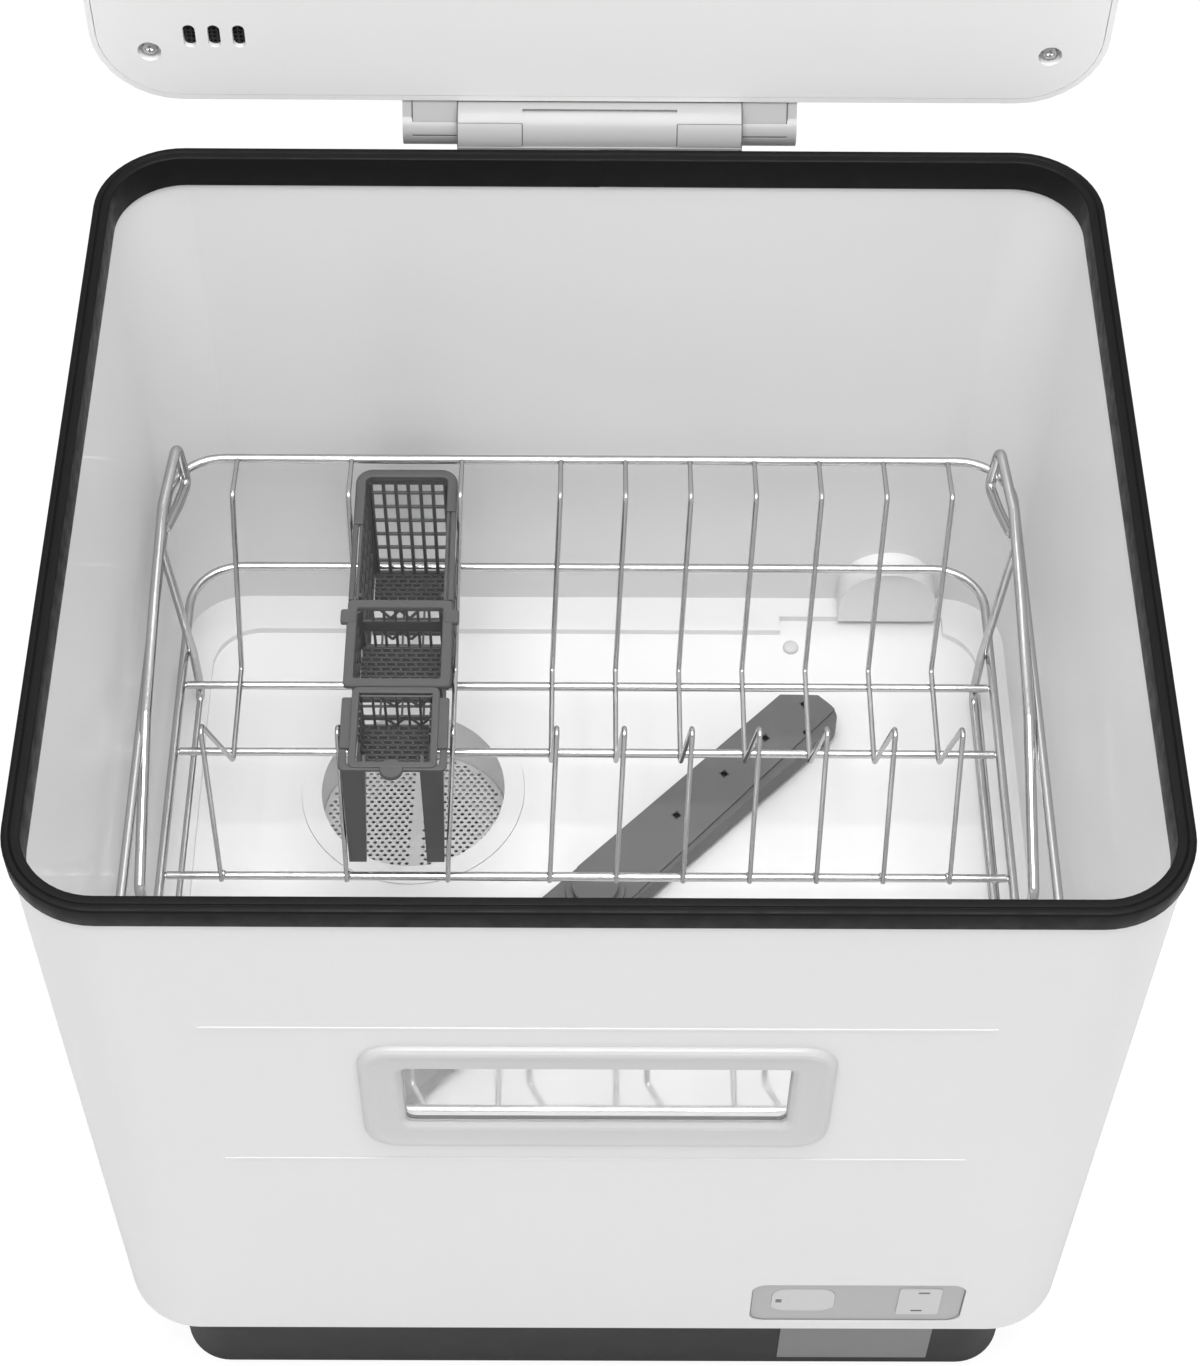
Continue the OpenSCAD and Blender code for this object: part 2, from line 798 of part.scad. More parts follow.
// The cover's form from its open side, with a round edge all the way round its back
module lid_form(inset, front) {
    back = lid_face + lid_t - inset;
    skin(concat([lid_ring(inset, front)],
                [for (k = [0:4]) let (a = 22.5 * k)
                    lid_ring(inset + lid_edge * (1 - cos(a)), back - lid_edge * (1 - sin(a)))]));
}

tongue_w = 18;
tongue_t = 6;
tongue_y = 10;
tongue_l = 24;
arm_x = block_l / 2 + 0.4 + arm_w / 2;
lid_screw_x = lid_w / 2 - 24.2;
lid_screw_z = lid_h / 2 - 26.5;
module lid_cover() {
    color("white")
        at_hinge() {
            difference() {
                lid_form(0, lid_face);
                lid_form(lid_wall, lid_face - cut);
                for (x = [-1, 1])
                    translate([x * arm_x - tongue_w / 2 - fit, tongue_y - fit, lid_low - cut])
                        cube([tongue_w + 2 * fit, tongue_t + 2 * fit, lid_wall + 2 * cut]);
            }
            for (p = corners(lid_screw_x, lid_screw_z))
                translate([p[0], lid_face + lid_t - lid_wall + 0.5, lid_mid_z + p[1]])
                    rotate([90, 0, 0])
                        difference() {
                            cylinder(h = lid_t - 2 * lid_wall - 12, r = 5);
                            translate([0, 0, 1])
                                cylinder(h = lid_t, r = screw_r + run_fit);
                        }
        }
}

module lid_liner() {
    color("whitesmoke")
        at_hinge()
            difference() {
                union() {
                    lid_plate(lid_wall + 0.3, lid_face, lid_wall, lid_r - lid_wall - 0.3);
                    for (p = corners(lid_screw_x, lid_screw_z))
                        rod_y(p[0], lid_face + 1, lid_mid_z + p[1], 13.4, 7);
                }
                for (p = corners(lid_screw_x, lid_screw_z)) {
                    rod_y(p[0], lid_face - cut, lid_mid_z + p[1], 5 + cut, 5);
                    rod_y(p[0], lid_face, lid_mid_z + p[1], 20, screw_r + run_fit);
                }
                for (i = [-1:1])
                    translate([-lid_screw_x + 28.2 + i * slot_step, lid_face - cut, slot_mid_z])
                        rotate([-90, 0, 0])
                            linear_extrude(lid_wall + 2 * cut) {
                                square([slot_w, slot_h - slot_w], center = true);
                                for (z = [-1, 1])
                                    translate([0, z * (slot_h - slot_w) / 2])
                                        circle(slot_w / 2);
                            }
            }
}

slot_mid_z = lid_low + 35;
module lid_screws() {
    color("silver")
        at_hinge()
            for (p = corners(lid_screw_x, lid_screw_z)) {
                rod_y(p[0], lid_face + 2.5, lid_mid_z + p[1], 2.5 - run_fit, 3.4);
                rod_y(p[0], lid_face + 4, lid_mid_z + p[1], 18, screw_r);
            }
}

module lid_arms() {
    color("lightgray")
        at_hinge()
            for (x = [-1, 1]) {
                difference() {
                    translate([x * arm_x - arm_w / 2, 0, 0])
                        rotate([90, 0, 90])
                            linear_extrude(arm_w) {
                                circle(barrel_r);
                                polygon([[-barrel_r, 0], [lid_face + 1.2, lid_low - fit],
                                         [lid_face + 20, lid_low - fit], [barrel_r, -1]]);
                            }
                    rod_x(x * arm_x, 0, 0, arm_w + 2 * cut, pin_r + run_fit);
                    translate([x * arm_x - arm_w / 2 + (x < 0 ? 4.2 : -cut), 0, 0])
                        rotate([90, 0, 90])
                            linear_extrude(arm_w - 4.2 + cut)
                                polygon(inlay_profile(0, fit));
                }
                translate([x * arm_x - tongue_w / 2, tongue_y, lid_low - 3])
                    cube([tongue_w, tongue_t, tongue_l]);
            }
}

// The thin inlay let into each arm's sloping front, from its foot to the lid
inlay_t = 1.2;
function inlay_profile(grow, low) = let (h = lid_low - fit, s = (lid_face + 1.2 + barrel_r) / h)
    [[-barrel_r + s * (1 - low) - 1, 1 - low], [-barrel_r + s * h - 1, h + cut],
     [-barrel_r + s * h + inlay_t + grow, h + cut], [-barrel_r + s * (1 - low) + inlay_t + grow, 1 - low]];

module arm_inlays() {
    color("gainsboro")
        at_hinge()
            for (x = [-1, 1])
                intersection() {
                    translate([x * arm_x - arm_w / 2 + (x < 0 ? 4.2 + fit : 0), 0, 0])
                        rotate([90, 0, 90])
                            linear_extrude(arm_w - 4.2 - fit)
                                polygon(inlay_profile(-fit, 0));
                    translate([x * arm_x - arm_w, -barrel_r, 0])
                        rotate([90, 0, 90])
                            linear_extrude(2 * arm_w)
                                polygon([[0, 0], [lid_face + 1.2 + barrel_r, lid_low - fit],
                                         [40, lid_low - fit], [40, 0]]);
                }
}

module vent_screen() {
    color("gray")
        at_hinge()
            difference() {
                front_block(-lid_screw_x + 28.2, slot_mid_z, 3 * slot_step + 6, slot_h + 8,
                            lid_face + lid_wall + fit, 1.2, 3);
                for (i = [-7:7], j = [-3:3])
                    rod_y(-lid_screw_x + 28.2 + 2.2 * i, lid_face, slot_mid_z + 2.2 * j, 10, 0.7);
            }
}

/* Water path under the tub */

sump_floor_t = 2.5;
module sump_cup() {
    color("dimgray")
        in_body()
            difference() {
                union() {
                    rod_z(filter_x, filter_y, sump_low, floor_z - ring_seat - fit - sump_low, sump_r);
                    rod_z(filter_x, filter_y, tub_under - 3, 2.9, sump_r + 8);
                    rod_x(filter_x + sump_r, filter_y, duct_z, 2 * (suction_x - filter_x - sump_r), 11);
                    rod_y(filter_x, drain_in_y, duct_z, filter_y - drain_in_y, 10);
                }
                rod_z(filter_x, filter_y, sump_low + sump_floor_t, body_h, sump_r - sump_floor_t);
                rod_x(filter_x + sump_r, filter_y, duct_z, 2 * (suction_x - filter_x - sump_r + cut), 8.5);
                rod_y(filter_x, drain_in_y - cut, duct_z, filter_y - drain_in_y, 7.5);
            }
}

suction_x = -pump_half - 0.2;
impeller_r = 24;
shaft_r = 4;
module wash_pump_housing() {
    color("gray")
        in_body()
            difference() {
                union() {
                    rod_x(0, filter_y, duct_z, 2 * pump_half, pump_r);
                    rod_y(0, filter_y - pump_r - 6, duct_z, pump_r, pipe_r + 2);
                }
                rod_x(0, filter_y, duct_z, 2 * pump_half - 8, impeller_r + 3);
                rod_x(-pump_half, filter_y, duct_z, 10, 8.5);
                rod_x(pump_half, filter_y, duct_z, 10, shaft_r + run_fit);
                rod_y(0, filter_y - pump_r - 7, duct_z, pump_r, pipe_r - pipe_wall);
            }
}

module wash_pump_motor() {
    color("dimgray")
        in_body()
            difference() {
                rod_x(pump_half + fit + motor_l / 2, filter_y, duct_z, motor_l, motor_r - fit);
                rod_x(pump_half + 16, filter_y, duct_z, 32 + 2 * cut, shaft_r + run_fit);
            }
}

blade_count = 6;
module wash_impeller() {
    color("lightgray")
        in_body() {
            rod_x(pump_half + 5, filter_y, duct_z, 2 * pump_half + 8, shaft_r);
            rod_x(7, filter_y, duct_z, 3, impeller_r);
            for (k = [0:blade_count - 1])
                translate([-6, filter_y, duct_z])
                    rotate([360 * k / blade_count, 0, 0])
                        translate([0, -1, 10])
                            cube([12, 2, impeller_r - 10.5]);
        }
}

post_low = tub_under - 12;
pipe_y0 = filter_y - pump_r - 6 - 0.2;
module feed_pipe() {
    color("lightgray")
        in_body()
            difference() {
                pipe_form(pipe_r);
                pipe_form(pipe_r - pipe_wall);
            }
}

module pipe_form(r) {
    grow = r < pipe_r ? cut : 0;
    rod_y(0, hose_bend, duct_z, pipe_y0 - hose_bend + grow, r);
    translate([0, hose_bend, duct_z + hose_bend])
        rotate([90, 0, 90])
            quarter_bend(180, hose_bend, r);
    rod_z(0, 0, duct_z + hose_bend, post_low - duct_z - hose_bend - 0.2 + grow, r);
}

// A quarter turn of round rod in the plane of X and Y, from the angle given
module quarter_bend(from, bend_r, r) {
    rotate([0, 0, from])
        rotate_extrude(angle = 90)
            translate([bend_r, 0])
                circle(r);
}

module heater() {
    color("silver")
        in_body()
            difference() {
                rod_z(0, 0, duct_z + hose_bend + 4, 22, 17);
                rod_z(0, 0, duct_z, 60, pipe_r + fit);
            }
}

module drain_pump_housing() {
    color("gray")
        in_body()
            difference() {
                union() {
                    rod_y(filter_x, drain_in_y - 0.2 - 22, duct_z, 22, drain_r);
                    rod_x(filter_x - drain_r, drain_in_y - 11, duct_z, 16, pipe_r + 1);
                }
                rod_y(filter_x, drain_in_y - 18, duct_z, 13, drain_r - 3);
                rod_y(filter_x, drain_in_y - 10, duct_z, 20, 7.5);
                rod_x(filter_x - drain_r, drain_in_y - 11, duct_z, 20, pipe_r - pipe_wall);
            }
}

module drain_pump_motor() {
    color("dimgray")
        in_body()
            rod_y(filter_x, drain_in_y - 22.4 - 42, duct_z, 42, 18);
}

hose_x0 = filter_x - drain_r - 8 - 0.2;
module drain_hose() {
    color([0.25, 0.25, 0.25])
        in_body()
            difference() {
                hose_form(pipe_r);
                hose_form(pipe_r - pipe_wall);
            }
}

module hose_form(r) {
    grow = r < pipe_r ? cut : 0;
    y0 = drain_in_y - 11;
    run = hose_x0 - drain_x - hose_bend;
    rod_x(hose_x0 - run / 2 + grow / 2, y0, duct_z, run + grow, r);
    translate([drain_x + hose_bend, y0 + hose_bend, duct_z])
        quarter_bend(180, hose_bend, r);
    rod_y(drain_x, y0 + hose_bend, duct_z,
          base_back_y - base_wall - 8 - 0.2 - y0 - hose_bend + grow, r);
}

// A flanged spigot through the back of the base, with a thicker neck inside the wall
neck_more = 0.6;
module spigot(x, r, bore) {
    difference() {
        union() {
            rod_y(x, base_back_y - base_wall - 8, duct_z, base_wall + 8, r + neck_more);
            rod_y(x, base_back_y - 1, duct_z, 1 + rear_out, r);
            rod_y(x, base_back_y - base_wall - 2, duct_z, 1.98, r + 5);
        }
        rod_y(x, base_back_y - base_wall - 8 - cut, duct_z, base_wall + 8 + rear_out + 2 * cut, bore);
    }
}

module drain_spigot() {
    color([0.25, 0.25, 0.25])
        in_body()
            spigot(drain_x, pipe_r + 1, pipe_r - pipe_wall);
}

module inlet_spigot() {
    color([0.25, 0.25, 0.25])
        in_body()
            spigot(inlet_x, pipe_r + 1, pipe_r - pipe_wall - 1);
}

module inlet_valve() {
    valve_back = base_back_y - base_wall - 8.2;
    color("whitesmoke")
        in_body()
            difference() {
                union() {
                    translate([inlet_x - 16, valve_front, duct_z - 16])
                        cube([32, valve_back - valve_front, 30]);
                    rod_z(inlet_x, fill_low, duct_z + 13, 6, fill_r + 2);
                }
                rod_y(inlet_x, valve_back - 20, duct_z, 21, 5);
                rod_z(inlet_x, fill_low, duct_z, 30, fill_r - 1.5);
            }
}

module fill_pipe() {
    color("gainsboro")
        in_body()
            difference() {
                fill_form(fill_r);
                fill_form(fill_r - 1.5);
            }
}

module fill_form(r) {
    grow = r < fill_r ? cut : 0;
    z0 = duct_z + 19.2;
    z1 = z0 + 8;
    rod_z(inlet_x, fill_low, z0 - grow, z1 - z0 + grow, r);
    translate([inlet_x, fill_low + fill_bend, z1])
        rotate([90, 0, 90])
            quarter_bend(90, fill_bend, r);
    rod_y(inlet_x, fill_low + fill_bend, z1 + fill_bend,
          fill_y - fill_low - 2 * fill_bend, r);
    translate([inlet_x, fill_y - fill_bend, z1 + 2 * fill_bend])
        rotate([90, 0, 90])
            quarter_bend(-90, fill_bend, r);
    rod_z(inlet_x, fill_y, z1 + 2 * fill_bend, floor_z + ledge_h - z1 - 2 * fill_bend + grow, r);
}

module inlet_housing() {
    y = tub_back_y - housing_d;
    arch_z = floor_z + ledge_h + 0.1 + housing_h - housing_r;
    color("whitesmoke")
        in_body()
            difference() {
                arch(y, housing_r, arch_z, floor_z + ledge_h + 0.1, housing_d);
                arch(y + 2, housing_r - 2, arch_z, floor_z + ledge_h - 1, housing_d);
            }
}

// A half-round arch on straight sides, from y to y + t
module arch(y, r, z_mid, z_low, t) {
    translate([inlet_x, y + t, z_mid])
        rotate([90, 0, 0])
            linear_extrude(t) {
                intersection() {
                    circle(r);
                    translate([-r, 0])
                        square([2 * r, r]);
                }
                translate([-r, z_low - z_mid])
                    square([2 * r, z_mid - z_low + fit]);
            }
}

module heat_probe() {
    color("gray")
        in_body() {
            rod_z(probe_x, probe_y, tub_under - 8, tub_floor_t + 10, probe_r);
            rod_z(probe_x, probe_y, tub_under - 4, 4 - fit, probe_r + 3);
        }
}

module power_board() {
    color("darkgreen")
        in_body() {
            translate([circuit_x, circuit_y, circuit_z + fit])
                cube([circuit_w, circuit_d, 1.6]);
            translate([circuit_x + 8, circuit_y + 30, circuit_z + 1.7])
                cube([30, 34, 24]);
            translate([circuit_x + 56, circuit_y + 34, circuit_z + 1.7])
                cube([34, 12, 20]);
            for (x = [52, 68, 84])
                rod_z(circuit_x + x, circuit_y + 58, circuit_z + 1.7, 18, 5.5);
        }
}

module cord_gland() {
    color([0.2, 0.2, 0.2])
        in_body()
            difference() {
                union() {
                    rod_y(gland_x, base_back_y - base_wall - 6, duct_z, base_wall + 10, gland_r);
                    rod_y(gland_x, base_back_y + fit, duct_z, 4, gland_r + 2.5);
                }
                rod_y(gland_x, base_back_y - 30, duct_z, 60, 3.6);
            }
}

/* Spray arm */

module spray_post() {
    color("gray")
        in_body()
            difference() {
                union() {
                    rod_z(0, 0, post_low, spray_z + spray_t + 3 - post_low, post_r);
                    rod_z(0, 0, tub_under - 3, 2.9, post_r + 6);
                    rod_z(0, 0, floor_z + 0.1, spray_z - floor_z - 0.4, post_r + 4);
                }
                rod_z(0, 0, post_low - cut, spray_z + 3 - post_low, post_r - 3);
            }
}

// The arm's outline: at each end one corner is cut and the other is round
tip_r = 10;
tip_cut = 13;
bevel_tilt = -14;
bevel_turn = 1.5;
module spray_outline(inset) {
    reach = arm_reach - inset;
    half = arm_half - inset;
    end = concat([[reach - tip_cut, half * 0.86], [reach, half * 0.06]],
                 [for (a = [0:-15:-90])
                     [reach - tip_r + tip_r * cos(a), tip_r - half + tip_r * sin(a)]]);
    polygon(concat(end, -end));
}

nozzle_us = [59, 93, 123, 152];
module spray_arm_top() {
    in_body()
        color("dimgray")
            rotate([0, 0, spray_angle])
                difference() {
                    translate([0, 0, spray_split])
                        linear_extrude(spray_t / 2)
                            spray_outline(0);
                    translate([0, 0, spray_split - cut])
                        linear_extrude(spray_t / 2 - bevel_skin + cut)
                            difference() {
                                spray_outline(spray_skin + 1);
                                circle(hub_r);
                            }
                    for (side = [0, 180])
                        rotate([0, 0, side]) {
                            translate([0, -arm_half - 1, spray_split + spray_t / 2 + 0.15])
                                rotate([0, 0, bevel_turn])
                                    rotate([bevel_tilt, 0, 0])
                                        translate([-4, -8, -0.6])
                                            cube([arm_reach + 20, 11.2, 6]);
                            for (u = nozzle_us)
                                rod_z(u, 2.2, spray_split, spray_t, 1.7);
                            rod_z(140, -10, spray_split, spray_t, 1.7);
                        }
                    rod_z(0, 0, spray_split - cut, spray_t, post_r + run_fit);
                }
}

module spray_arm_base() {
    in_body()
        color("dimgray")
            rotate([0, 0, spray_angle])
                difference() {
                    translate([0, 0, spray_z])
                        linear_extrude(spray_t / 2)
                            spray_outline(0);
                    translate([0, 0, spray_z + spray_skin])
                        linear_extrude(spray_t)
                            difference() {
                                spray_outline(spray_skin + 1);
                                circle(hub_r);
                            }
                    rod_z(0, 0, spray_z - cut, spray_t, post_r + run_fit);
                }
}

module spray_arm_cap() {
    cap_z = spray_z + spray_t + 0.1;
    in_body()
        color("gray")
            difference() {
                rod_z(0, 0, cap_z, 2.4, hub_r - 2);
                rod_z(0, 0, cap_z - cut, 2.4 + 2 * cut, post_r + run_fit);
            }
}

module post_nut() {
    cap_z = spray_z + spray_t + 0.1 + 2.4;
    in_body()
        color("gray")
            rod_z(0, 0, cap_z + 0.6, 4, post_r + 2);
}

/* Filter */

mesh_rows = ceil(mesh_r / mesh_pitch);
mesh_tilt = -7;
module filter_ring() {
    color("silver")
        in_body()
            difference() {
                union() {
                    rod_z(filter_x, filter_y, floor_z + fit - ring_seat, 2.4, ring_r);
                    rod_z(filter_x, filter_y, floor_z - 40, 40, mesh_r + 1.8);
                }
                rod_z(filter_x, filter_y, floor_z - 40 + 1.8, 60, mesh_r + 0.2);
                rod_z(filter_x, filter_y, floor_z - 41, 10, mesh_r - 14);
            }
}

module filter_mesh() {
    color("silver")
        in_body()
            translate([filter_x, filter_y, floor_z - 8])
                rotate([mesh_tilt, 0, 0]) {
                    linear_extrude(1)
                        difference() {
                            circle(mesh_r);
                            for (i = [-mesh_rows:mesh_rows], j = [-mesh_rows:mesh_rows])
                                let (x = (i + (j % 2 == 0 ? 0 : 0.5)) * mesh_pitch,
                                     y = j * mesh_pitch * sin(60))
                                    if (norm([x, y]) < mesh_r - 2.4 && abs(x - 3) > 5)
                                        translate([x, y])
                                            circle(mesh_hole, $fn = 16);
                        }
                }
}

/* Dish rack */

module rack_top_loop() {
    color("lightgray")
        in_body()
            level_loop(rack_x, rack_front, rack_back, loop_h, wire_r, loop_bend);
}

module rack_bottom_loop() {
    color("lightgray")
        in_body()
            level_loop(low_x, rack_front, rack_back, cross_h, wire_r, loop_bend);
}

module rack_cross_wires() {
    color("lightgray")
        in_body()
            for (y = cross_ys)
                rod_x(0, y, cross_h, 2 * (low_x - wire_r - weld), wire_r);
}

// One plate tine: down from the top loop, along the cross wires, and up to a bowed tip
function plate_tine(x) = [
    [x, rack_back - wire_r - 0.1, loop_h + 2],
    [x, rack_back - 28, loop_h + 7],
    [x, rack_back - 66, tine_h],
    [x, cross_ys[1] - 7.3, tine_h],
    [x, cross_ys[1] - 29.3, tine_h + tine_rise],
    [x, cross_ys[2] - 5.5, tine_h]];

module rack_plate_tines() {
    color("silver")
        in_body()
            for (x = tine_xs)
                wire(plate_tine(x), tine_r, 3);
}

// One bowl tine in the front half of the rack, which steps sideways before it rises
function bowl_tine(x) = [
    [x + 7, rack_front + wire_r + 0.2, tine_h],
    [x + 7, cross_ys[4] + 4.5, tine_h],
    [x, cross_ys[4] + 17.5, tine_h],
    [x, cross_ys[3] - 31, tine_h + 48],
    [x, cross_ys[3] - 6, tine_h],
    [x, cross_ys[3] + 6, tine_h]];

module rack_bowl_tines() {
    color("silver")
        in_body()
            for (x = bowl_xs)
                wire(bowl_tine(x), tine_r, 3);
}

module rack_runners() {
    color("silver")
        in_body()
            for (x = runner_xs)
                rod_y(x, rack_front + wire_r + 0.2, tine_h, cross_ys[2] - 26 - rack_front - wire_r,
                      tine_r);
}

// Each side of the rack stands on a bent wire: two legs and a rail along the tub floor
leg_back = rack_back - 64;
leg_front = rack_front + 29.5;
module rack_feet() {
    rail_z = floor_z + wire_r;
    in_x = low_x - 2 * wire_r - weld;
    top_x = rack_x - wire_r * 2 - weld - fit;
    color("lightgray")
        in_body()
            for (s = [-1, 1])
                wire([[s * top_x, leg_back, loop_h + 16.6 - grip_r],
                      [s * in_x, leg_back + 2, cross_h],
                      [s * (in_x + 0.8), leg_back + 14, rail_z],
                      [s * (in_x + 0.8), leg_front - 4, rail_z],
                      [s * in_x, leg_front + 2, cross_h],
                      [s * top_x, leg_front, loop_h + wire_r]], wire_r, 6);
}

// Each handle: a folded hook at the back, a long arch, and a leg down to the bottom loop
module rack_handles() {
    side = rack_x - wire_r - grip_r - weld - fit;
    foot = low_x - wire_r - grip_r - weld - fit;
    color("lightgray")
        in_body()
            for (s = [-1, 1])
                wire([[s * (side - 1.2), rack_back - 52, loop_h + 13.2],
                      [s * (side - 3.7), rack_back - 31, loop_h + 5],
                      [s * (side - 5.2), rack_back - 13, loop_h - 4],
                      [s * (side - 2), rack_back - 14, loop_h + 20],
                      [s * side, rack_back - 48, loop_h + 19],
                      [s * side, rack_back - 95, loop_h + 21],
                      [s * side, rack_back - 155, loop_h + 18],
                      [s * (side - 1), rack_back - 200, loop_h],
                      [s * (side - 3), rack_back - 235, loop_h - 39],
                      [s * foot, rack_back - 248, cross_h - 3]], grip_r, 3);
}

/* Cutlery basket */

bar = 1.8;

// A pattern of windows in the plane of X and Z, from -w / 2 to w / 2 and from z0 to z1
module windows(w, z0, z1, cols, rows, t) {
    step_x = w / cols;
    step_z = (z1 - z0) / rows;
    for (i = [0:cols - 1], j = [0:rows - 1])
        translate([-w / 2 + i * step_x + bar / 2, -t / 2, z0 + j * step_z + bar / 2])
            cube([step_x - bar, t, step_z - bar]);
}

// A level ring of points round a rectangle with round corners
function tray_ring(w, d, y, z, r) =
    [for (q = [0:3], k = [0:4]) let (a = 90 * (q + k / 4))
        [(q == 0 || q == 3 ? 1 : -1) * (w / 2 - r) + r * cos(a),
         y + (q < 2 ? 1 : -1) * (d / 2 - r) + r * sin(a), z]];

// The form of a tray, whose front slopes back by a given reach
module tray_form(w, d, z0, z1, r, slope) {
    if (slope == 0)
        round_block(w, d, z0, z1 - z0, r);
    else
        skin([tray_ring(w, d - slope, slope / 2, z0, r), tray_ring(w, d, 0, z1, r)]);
}

// One module of the basket: a rim flange, thin walls pierced by windows, and a slotted floor
module basket(mid_y, d, low, cols, rows, slope = 0) {
    in_w = cut_w - 2 * cut_flange;
    in_d = d - 2 * cut_flange;
    wall_low = low + 1.5 * bar;
    wall_top = cut_top - 2 * bar;
    translate([cut_x, mid_y, 0])
        difference() {
            union() {
                tray_form(in_w, in_d, low, cut_top, 3, slope);
                round_block(cut_w, d, cut_top - 2, 2, 5);
            }
            tray_form(in_w - 2 * cut_wall, in_d - 2 * cut_wall, low + cut_wall, cut_top + cut, 2,
                      slope);
            translate([0, in_d / 2 - cut_wall / 2, 0])
                windows(in_w - 5, wall_low, wall_top, cols, rows, 2 * cut_wall);
            if (slope == 0)
                rotate([0, 0, 90])
                    windows(in_d - 8, wall_low, wall_top, round(in_d / 8), ceil(rows / 2),
                            2 * cut_w);
            for (i = [0:floor((in_d - slope - 12) / slot_pitch)])
                translate([-in_w / 2 + 6, slope - in_d / 2 + 6 + slot_pitch * i, low - cut])
                    cube([in_w - 12, slot_pitch / 2, cut_wall + 2 * cut]);
        }
}

slot_pitch = 4.6;
module cutlery_cup() {
    color("dimgray")
        in_body()
            basket(cup_mid, cup_d, cut_low, 6, 7);
}

// The middle tray has a tab on each side, at its back
tab_out = 3;
tab_l = 8;
module cutlery_tray_middle() {
    color("dimgray")
        in_body() {
            basket(mid_mid, mid_d, cut_top - mid_depth - cut_wall, 6, 2);
            for (s = [-1, 1])
                translate([cut_x + s * (cut_w / 2 + tab_out / 2 - 1), mid_mid + mid_d / 2 - tab_l / 2,
                           cut_top - 1])
                    cube([tab_out + 2, tab_l, 2], center = true);
        }
}

// The front tray stands on two angled legs, and has a thumb tab on its front
leg_w = 9;
leg_t = 1.8;
leg_taper = 1.5;
thumb_r = 5;
module cutlery_tray_front() {
    low = cut_top - front_depth - cut_wall;
    color("dimgray")
        in_body() {
            difference() {
                union() {
                    basket(front_mid, front_d, low, 6, 2, 14);
                    rod_z(cut_x, front_end + 1, cut_top - 2, 2, thumb_r);
                }
                for (s = [-1, 1])
                    translate([cut_x + s * 11 - 1.5, front_end + 0.8, cut_top - 3])
                        cube([3, 1.2, 4]);
            }
            for (s = [-1, 1])
                translate([cut_x + s * cut_w / 2, front_end, cut_low])
                    mirror([s > 0 ? 1 : 0, 0, 0]) {
                        rotate([90, 0, 0])
                            translate([0, 0, -leg_t])
                                linear_extrude(leg_t)
                                    polygon([[0, 0], [leg_w - leg_taper, 0],
                                             [leg_w, cut_top - 1 - cut_low],
                                             [0, cut_top - 1 - cut_low]]);
                        cube([leg_t, leg_w - leg_taper, cut_top - 1 - cut_low]);
                    }
        }
}

outer_shell();
wash_tub();
rim_seal();
base_pan();
rubber_feet();
base_screws();
window_bezel();
window_pane();
window_gasket();
window_retainer();
control_plate();
display_lens();
control_board();
blank_plate();
hinge_block();
hinge_covers();
hinge_pin();
hinge_screws();
spray_post();
post_nut();
inlet_housing();
heat_probe();
sump_cup();
wash_pump_housing();
wash_pump_motor();
feed_pipe();
heater();
drain_pump_housing();
drain_pump_motor();
drain_hose();
drain_spigot();
inlet_spigot();
inlet_valve();
fill_pipe();
power_board();
cord_gland();
lid_cover();
lid_liner();
lid_screws();
lid_arms();
arm_inlays();
vent_screen();
spray_arm_top();
spray_arm_base();
spray_arm_cap();
rack_top_loop();
rack_bottom_loop();
rack_cross_wires();
rack_plate_tines();
rack_bowl_tines();
rack_runners();
rack_feet();
rack_handles();
cutlery_cup();
cutlery_tray_middle();
cutlery_tray_front();
filter_ring();
filter_mesh();
start_key();
wash_impeller();
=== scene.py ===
"""Looks of a countertop dishwasher with its lid standing open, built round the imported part."""

import json
import math

import bpy
import numpy as np
from mathutils import Matrix, Vector


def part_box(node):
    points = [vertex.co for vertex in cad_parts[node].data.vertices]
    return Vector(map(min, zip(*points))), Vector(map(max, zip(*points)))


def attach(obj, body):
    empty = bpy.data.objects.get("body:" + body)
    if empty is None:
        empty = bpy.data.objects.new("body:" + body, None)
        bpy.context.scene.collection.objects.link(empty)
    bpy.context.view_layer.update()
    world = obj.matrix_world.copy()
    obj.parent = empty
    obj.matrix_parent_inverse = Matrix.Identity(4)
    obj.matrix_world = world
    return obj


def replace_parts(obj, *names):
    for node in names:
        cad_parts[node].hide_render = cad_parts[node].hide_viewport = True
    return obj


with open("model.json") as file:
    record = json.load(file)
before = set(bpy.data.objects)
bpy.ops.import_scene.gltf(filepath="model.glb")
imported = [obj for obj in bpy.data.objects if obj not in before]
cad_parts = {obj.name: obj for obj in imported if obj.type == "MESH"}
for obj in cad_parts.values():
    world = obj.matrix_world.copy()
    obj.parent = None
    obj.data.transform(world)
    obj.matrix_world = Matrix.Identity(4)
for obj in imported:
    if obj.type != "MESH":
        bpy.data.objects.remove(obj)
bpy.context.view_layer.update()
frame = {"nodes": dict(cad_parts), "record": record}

MM = 0.001
nodes = frame["nodes"]
slots = {s["node"]: s["material_slot"] for s in frame["record"]["subparts"]}


def low(node):
    """A node's lowest corner in millimetres."""
    return np.array(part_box(node)[0]) / MM


def high(node):
    """A node's highest corner in millimetres."""
    return np.array(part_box(node)[1]) / MM


def middle(node):
    """The middle of a node's box in millimetres."""
    return (low(node) + high(node)) / 2


